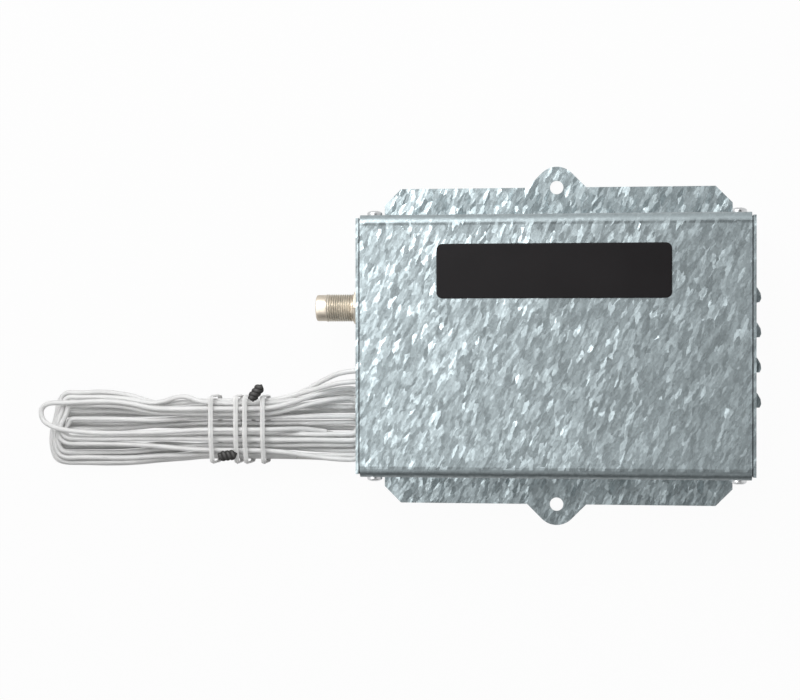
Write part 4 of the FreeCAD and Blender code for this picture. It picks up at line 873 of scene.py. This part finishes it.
class RECEIVER_OT_jack(bpy.types.Operator):
    """Make the jack's threaded shell, its nut and its lock washer"""

    bl_idname = "receiver.jack"
    bl_label = "Jack"

    def execute(self, context):
        nickel = plated("nickel_plate", (0.585, 0.527, 0.444), 0.38)
        axis = (JACK_MIDDLE, RIGHT)
        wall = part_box("base_tray")[0][0]
        self.shell(nickel, axis, wall)

        start = wall - NUT_OFF
        steps = np.linspace(start, start + NUT_THICKNESS, 12)
        profile = [(steps[0], NUT_BORE), *[(x, NUT_CORNER) for x in steps], (steps[-1], NUT_BORE)]
        nut = lathe(profile, axis, twist=self.hexagon)
        finishing(skin("jack_nut_hexagon", nut, nickel, loop=True), CASE, "nickel", "jack_nut")

        start, stop = wall - WASHER_OFF, wall - WASHER_SLACK
        profile = [
            (start, WASHER_BORE), (start, WASHER_OUTER), (stop, WASHER_OUTER), (stop, WASHER_BORE),
        ]
        washer = lathe(profile, axis, twist=self.teeth)
        piece = skin("jack_lock_washer", washer, nickel, loop=True)
        finishing(piece, CASE, "nickel", "jack_washer")
        return {"FINISHED"}

    def shell(self, nickel, axis, wall):
        low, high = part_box("jack_shell")
        tip, shoulder = low[0], low[0] + NOSE_LENGTH
        neck_end = wall - NUT_OFF - THREAD_STOP
        inside = wall + SHEET
        threaded = np.linspace(shoulder + THREAD_START, neck_end, 150)
        profile = [
            (tip, BORE),
            (tip, NOSE - NOSE_EDGE),
            *arc((tip + NOSE_EDGE, NOSE - NOSE_EDGE), NOSE_EDGE, 180, 90, 5)[1:],
            (shoulder, NOSE),
            *[(x, THREAD_RADIUS) for x in threaded],
            (neck_end, NECK),
            (inside, NECK),
            (inside, BORE),
        ]
        first, last = threaded[0], threaded[-1]

        def cut_thread(along, radius, t):
            """A helical groove of 60 degrees that fades in at both ends of the thread."""
            turns = (along - first) / THREAD_PITCH - t / (2 * np.pi)
            valley = 1 - np.abs(2 * (turns % 1) - 1)
            rise, fall = (along - first) / FADE_IN, (last - along) / FADE_OUT
            fade = np.clip(rise, 0, 1) * np.clip(fall, 0, 1)
            on_thread = np.isclose(radius, THREAD_RADIUS)
            return radius - np.where(on_thread, valley * THREAD_DEPTH * fade, 0)

        shell = lathe(profile, axis, count=120, twist=cut_thread)
        block = self.block(inside, high[0])
        piece = skin("jack_shell_threaded", shell, nickel, loop=True, more=[block])
        finishing(piece, CASE, "nickel", "jack_shell")

    def hexagon(self, along, radius, t):
        """Six flats, whose corners a cone of 30 degrees takes off at both faces."""
        flat = NUT_FLAT / np.cos((t + np.pi / 6) % (np.pi / 3) - np.pi / 6)
        edge = np.minimum(along - along.min(), along.max() - along)
        cone = NUT_CHAMFER + edge / math.tan(math.radians(30))
        return np.where(radius > RIM_FROM, np.minimum(flat, cone), radius)

    def teeth(self, along, radius, t):
        """Internal teeth: the bore steps in and out ten times."""
        return np.where(radius > RIM_FROM, radius, radius + TOOTH * (np.sin(10 * t) > 0))

    def block(self, start, stop):
        """A square block with a round bore; the square is a superellipse of power 14."""
        t = around(120)
        c, s = np.cos(t), np.sin(t)
        reach = (np.abs(c) ** 14 + np.abs(s) ** 14) ** (-1 / 14)
        y, z = BLOCK_HALF * reach * c, BLOCK_HALF * reach * s
        z = np.where(z < 0, z * BLOCK_FOOT / BLOCK_HALF, z)
        square, bore = (y, z), (BORE * c, BORE * s)
        rows = [
            np.stack([np.full(len(t), x), JACK_MIDDLE[1] + across, JACK_MIDDLE[2] + high], axis=1)
            for x, (across, high) in ((start, bore), (start, square), (stop, square), (stop, bore))
        ]
        return np.array(rows)


# The cover's screws: their places along the case and above its back, and their sizes. The recess
# has its half width, half length and depth, and each of the first two a soft edge.
SCREW_X, SCREW_HEIGHT = 0.06175, 0.020
HEAD, RISE, SHANK, SCREW_LENGTH, POINT = 0.0026, 0.0021, 0.0014, 0.0069, 0.0003
RECESS_WIDTH, RECESS_LENGTH, RECESS_DEPTH = (0.00034, 0.00012), (0.0015, 0.0005), 0.0013
SCREW_PITCH, SCREW_GROOVE = 0.0008, 0.00012


class RECEIVER_OT_screws(bpy.types.Operator):
    """Make the cover's four pan-head screws"""

    bl_idname = "receiver.screws"
    bl_label = "Cover screws"

    def execute(self, context):
        zinc = plated("zinc_plate", (0.62, 0.63, 0.64), 0.26)
        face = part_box("cover")[1][1]
        shells = [
            self.screw(np.array([side * SCREW_X, end * face, SCREW_HEIGHT]), end * UP)
            for side in (-1, 1)
            for end in (-1, 1)
        ]
        piece = skin("cover_screws_crossed", shells[0], zinc, more=shells[1:])
        finishing(piece, CASE, "zinc_screws", "cover_screws")
        return {"FINISHED"}

    def screw(self, centre, ahead):
        """A crowned head with a cross recess, and its threaded shank. The crown's height falls
        with a power of a cosine; the recess is the larger of two crossed slots."""
        t = around(64)
        share = np.linspace(0.02, 1, 22)
        radius = HEAD * np.sin(share * np.pi / 2)
        height = RISE * (0.35 + 0.65 * np.cos(share * np.pi / 2) ** 0.6)
        across, along = (radius[:, None] * f(t)[None] for f in (np.cos, np.sin))

        def within(distance, reach, edge):
            return np.clip((reach - np.abs(distance)) / edge, 0, 1)

        slots = [
            within(a, *RECESS_WIDTH) * within(b, *RECESS_LENGTH)
            for a, b in ((across, along), (along, across))
        ]
        lift = height[:, None] - RECESS_DEPTH * np.maximum(*slots)
        crown = across[:, :, None] * RIGHT + along[:, :, None] * OUT + lift[:, :, None] * ahead
        stem = np.linspace(0, SCREW_LENGTH - 0.001, 90)
        turns = stem[:, None] / SCREW_PITCH - t[None] / (2 * np.pi)
        thread = SHANK - SCREW_GROOVE * (1 - np.cos(2 * np.pi * turns))
        rim, neck, point = (np.full((1, len(t)), r) for r in (HEAD, SHANK, POINT))
        radii = np.vstack([rim, neck, thread, point])
        depth = np.concatenate([[0, 0], -stem, [-SCREW_LENGTH]])
        below = (
            radii[:, :, None] * (np.cos(t)[:, None] * RIGHT + np.sin(t)[:, None] * OUT)[None]
            + depth[:, None, None] * ahead
        )
        return centre + np.vstack([crown, below])


class RECEIVER_OT_plate(bpy.types.Operator):
    """Make the bare name plate"""

    bl_idname = "receiver.plate"
    bl_label = "Name plate"

    def execute(self, context):
        colour = context.scene.receiver_case.plate
        gloss = moulded("plate_black", colour, 0.3, 0.0012, 0.000008, Specular_IOR_Level=0.1)
        low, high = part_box("name_plate")
        centre = (np.array(low) + np.array(high)) / 2
        half = (np.array(high) - np.array(low)) / 2
        corner, edge = 0.0021, 0.00022
        steps = np.radians(np.linspace(0, 90, 6))[1:]
        rise = high[2] - low[2]
        inner = np.linspace(0.0008, half[1] * 0.98, 9)
        insets = [0, 0, *(edge * (1 - np.cos(steps))), *inner]
        bevel = rise - edge + edge * np.sin(steps)
        heights = [0, rise - edge, *bevel, *[rise] * len(inner)]
        rings = [self.outline(half, corner, inset) for inset in insets]
        points = np.array(
            [np.c_[r + centre[:2], np.full(len(r), low[2] + h)] for r, h in zip(rings, heights)]
        )
        piece = skin("name_plate_bare", points, gloss)
        finishing(piece, CASE, "black_plate", "name_plate")
        return {"FINISHED"}

    def outline(self, half, corner, inset):
        """A rounded rectangle, a quarter circle at each corner, drawn in by the inset."""
        radius = max(corner - inset, 0.0001)
        reach = half[:2] - inset - radius
        t = around(80) + np.pi / 80
        c, s = np.cos(t), np.sin(t)
        return np.stack([np.sign(c) * reach[0] + radius * c, np.sign(s) * reach[1] + radius * s], 1)


# The grommet: the radii of its lips, its bore and its neck, the thickness of a lip, and the slack
# between the groove and the wall.
LIP, GROMMET_BORE, GROMMET_NECK = 0.00475, 0.0032, 0.00375
LIP_THICKNESS, GROOVE_SLACK = 0.0012, 0.00002
# The button's stem and collar, and the lamp's dome, collar and square legs.
STEM, COLLAR, COLLAR_THICKNESS, STEM_EDGE = 0.0017, 0.0023, 0.0006, 0.00028
DOME, DOME_COLLAR, DOME_COLLAR_THICKNESS = 0.0015, 0.001875, 0.00075
# How far the dome's outline turns, which leaves a small flat tip.
DOME_SWEEP = 1.4
LEG_OFF, LEG_HALF = 0.001, 0.00024


class RECEIVER_OT_openings(bpy.types.Operator):
    """Make the leads' grommet, the learn button and the lamp"""

    bl_idname = "receiver.openings"
    bl_label = "Grommet, button and lamp"

    def execute(self, context):
        self.grommet()
        self.button()
        self.lamp()
        return {"FINISHED"}

    def grommet(self):
        rubber = moulded("grommet_rubber", (0.022, 0.022, 0.023), 0.55, 0.0004)
        low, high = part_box("wire_grommet")
        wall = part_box("base_tray")[0][0]
        half = LIP_THICKNESS / 2
        profile = [
            *arc((low[0] + half, LIP - half), half, 180, 90),
            (wall - GROOVE_SLACK, LIP - 0.0001),
            (wall - GROOVE_SLACK, GROMMET_NECK),
            (wall + SHEET + GROOVE_SLACK, GROMMET_NECK),
            *arc((high[0] - half, LIP - half), half, 90, 0),
            (high[0], GROMMET_BORE + 0.0002),
            (high[0] - 0.0002, GROMMET_BORE),
            *arc((low[0] + half, GROMMET_BORE + half), half, 270, 180)[1:],
        ]
        rings = lathe(profile, self.axis(low, high))
        piece = skin("wire_grommet_soft", rings, rubber, loop=True)
        finishing(piece, CASE, "black_nylon", "wire_grommet")

    def axis(self, low, high):
        """Across the wall, through the middle of this box."""
        return (0, (low[1] + high[1]) / 2, (low[2] + high[2]) / 2), RIGHT

    def button(self):
        red = moulded("button_red", (0.5, 0.03, 0.025), 0.35)
        low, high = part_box("learn_button")
        back, tip = low[0], high[0]
        profile = [
            (back, COLLAR),
            (back + COLLAR_THICKNESS, COLLAR),
            (back + COLLAR_THICKNESS, STEM),
            *arc((tip - STEM_EDGE, STEM - STEM_EDGE), STEM_EDGE, 90, 10),
            *[(tip - 0.00012 * (1 - math.cos(a)), STEM * a) for a in (0.75, 0.5, 0.25)],
        ]
        rings = lathe(profile, self.axis(low, high), count=64)
        piece = skin("learn_button_cap", rings, red)
        finishing(piece, BUTTON, "red_button", "learn_button")

    def lamp(self):
        glass = moulded("lamp_red", (0.55, 0.02, 0.015), 0.12, 0.001, 0.000002, Coat_Weight=0.5)
        low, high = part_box("status_lamp")
        back, foot = low[0], low[2]
        y, z = (low[1] + high[1]) / 2, high[2] - DOME_COLLAR
        profile = [
            (back, DOME_COLLAR),
            (back + DOME_COLLAR_THICKNESS, DOME_COLLAR),
            (back + DOME_COLLAR_THICKNESS, DOME),
            *arc((high[0] - DOME, 0), DOME, 90, 90 - math.degrees(DOME_SWEEP), 10),
        ]
        rings = lathe(profile, ((0, y, z), RIGHT), count=64)
        piece = skin("status_lamp_dome", rings, glass)
        finishing(piece, CASE, "red_lamp", "status_lamp")
        legs = [self.leg(back + 0.0004, y + side * LEG_OFF, foot, z) for side in (-1, 1)]
        tin = plated("lamp_legs", (0.68, 0.68, 0.67), 0.25)
        piece = skin("status_lamp_legs", legs[0], tin, more=legs[1:])
        finishing(piece, CASE, "tinned_steel", "status_lamp")

    def leg(self, x, y, foot, top):
        """A square wire that stands from foot to top."""
        line = np.array([[x, y, height] for height in np.linspace(foot, top, 5)])
        t = around(4) + np.pi / 4
        square = np.stack([np.cos(t), np.sin(t), 0 * t], axis=1) * LEG_HALF * math.sqrt(2)
        return line[:, None] + square[None]


STEPS = (
    RECEIVER_OT_case,
    RECEIVER_OT_plate,
    RECEIVER_OT_jack,
    RECEIVER_OT_screws,
    RECEIVER_OT_openings,
    RECEIVER_OT_leads,
    RECEIVER_OT_stage,
)


class RECEIVER_PT_panel(bpy.types.Panel):
    """The receiver's pieces and settings"""

    bl_idname = "RECEIVER_PT_panel"
    bl_label = "Coaxial receiver"
    bl_space_type = "VIEW_3D"
    bl_region_type = "UI"
    bl_category = "Receiver"

    def draw(self, context):
        for name in GROUPS:
            group = getattr(context.scene, name)
            for word in group.__annotations__:
                self.layout.prop(group, word)
        for step in STEPS:
            self.layout.operator(step.bl_idname)


GROUPS = {
    "receiver_case": CaseSettings,
    "receiver_leads": LeadSettings,
    "receiver_stage": StageSettings,
}
CLASSES = (*GROUPS.values(), *STEPS, RECEIVER_PT_panel)


def register():
    for made in CLASSES:
        bpy.utils.register_class(made)
    for name, group in GROUPS.items():
        setattr(bpy.types.Scene, name, bpy.props.PointerProperty(type=group))


def unregister():
    for name in GROUPS:
        delattr(bpy.types.Scene, name)
    for made in reversed(CLASSES):
        bpy.utils.unregister_class(made)


def main():
    register()
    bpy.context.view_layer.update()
    for step in STEPS:
        group, name = step.bl_idname.split(".")
        getattr(getattr(bpy.ops, group), name)()


if __name__ == "__main__":
    main()
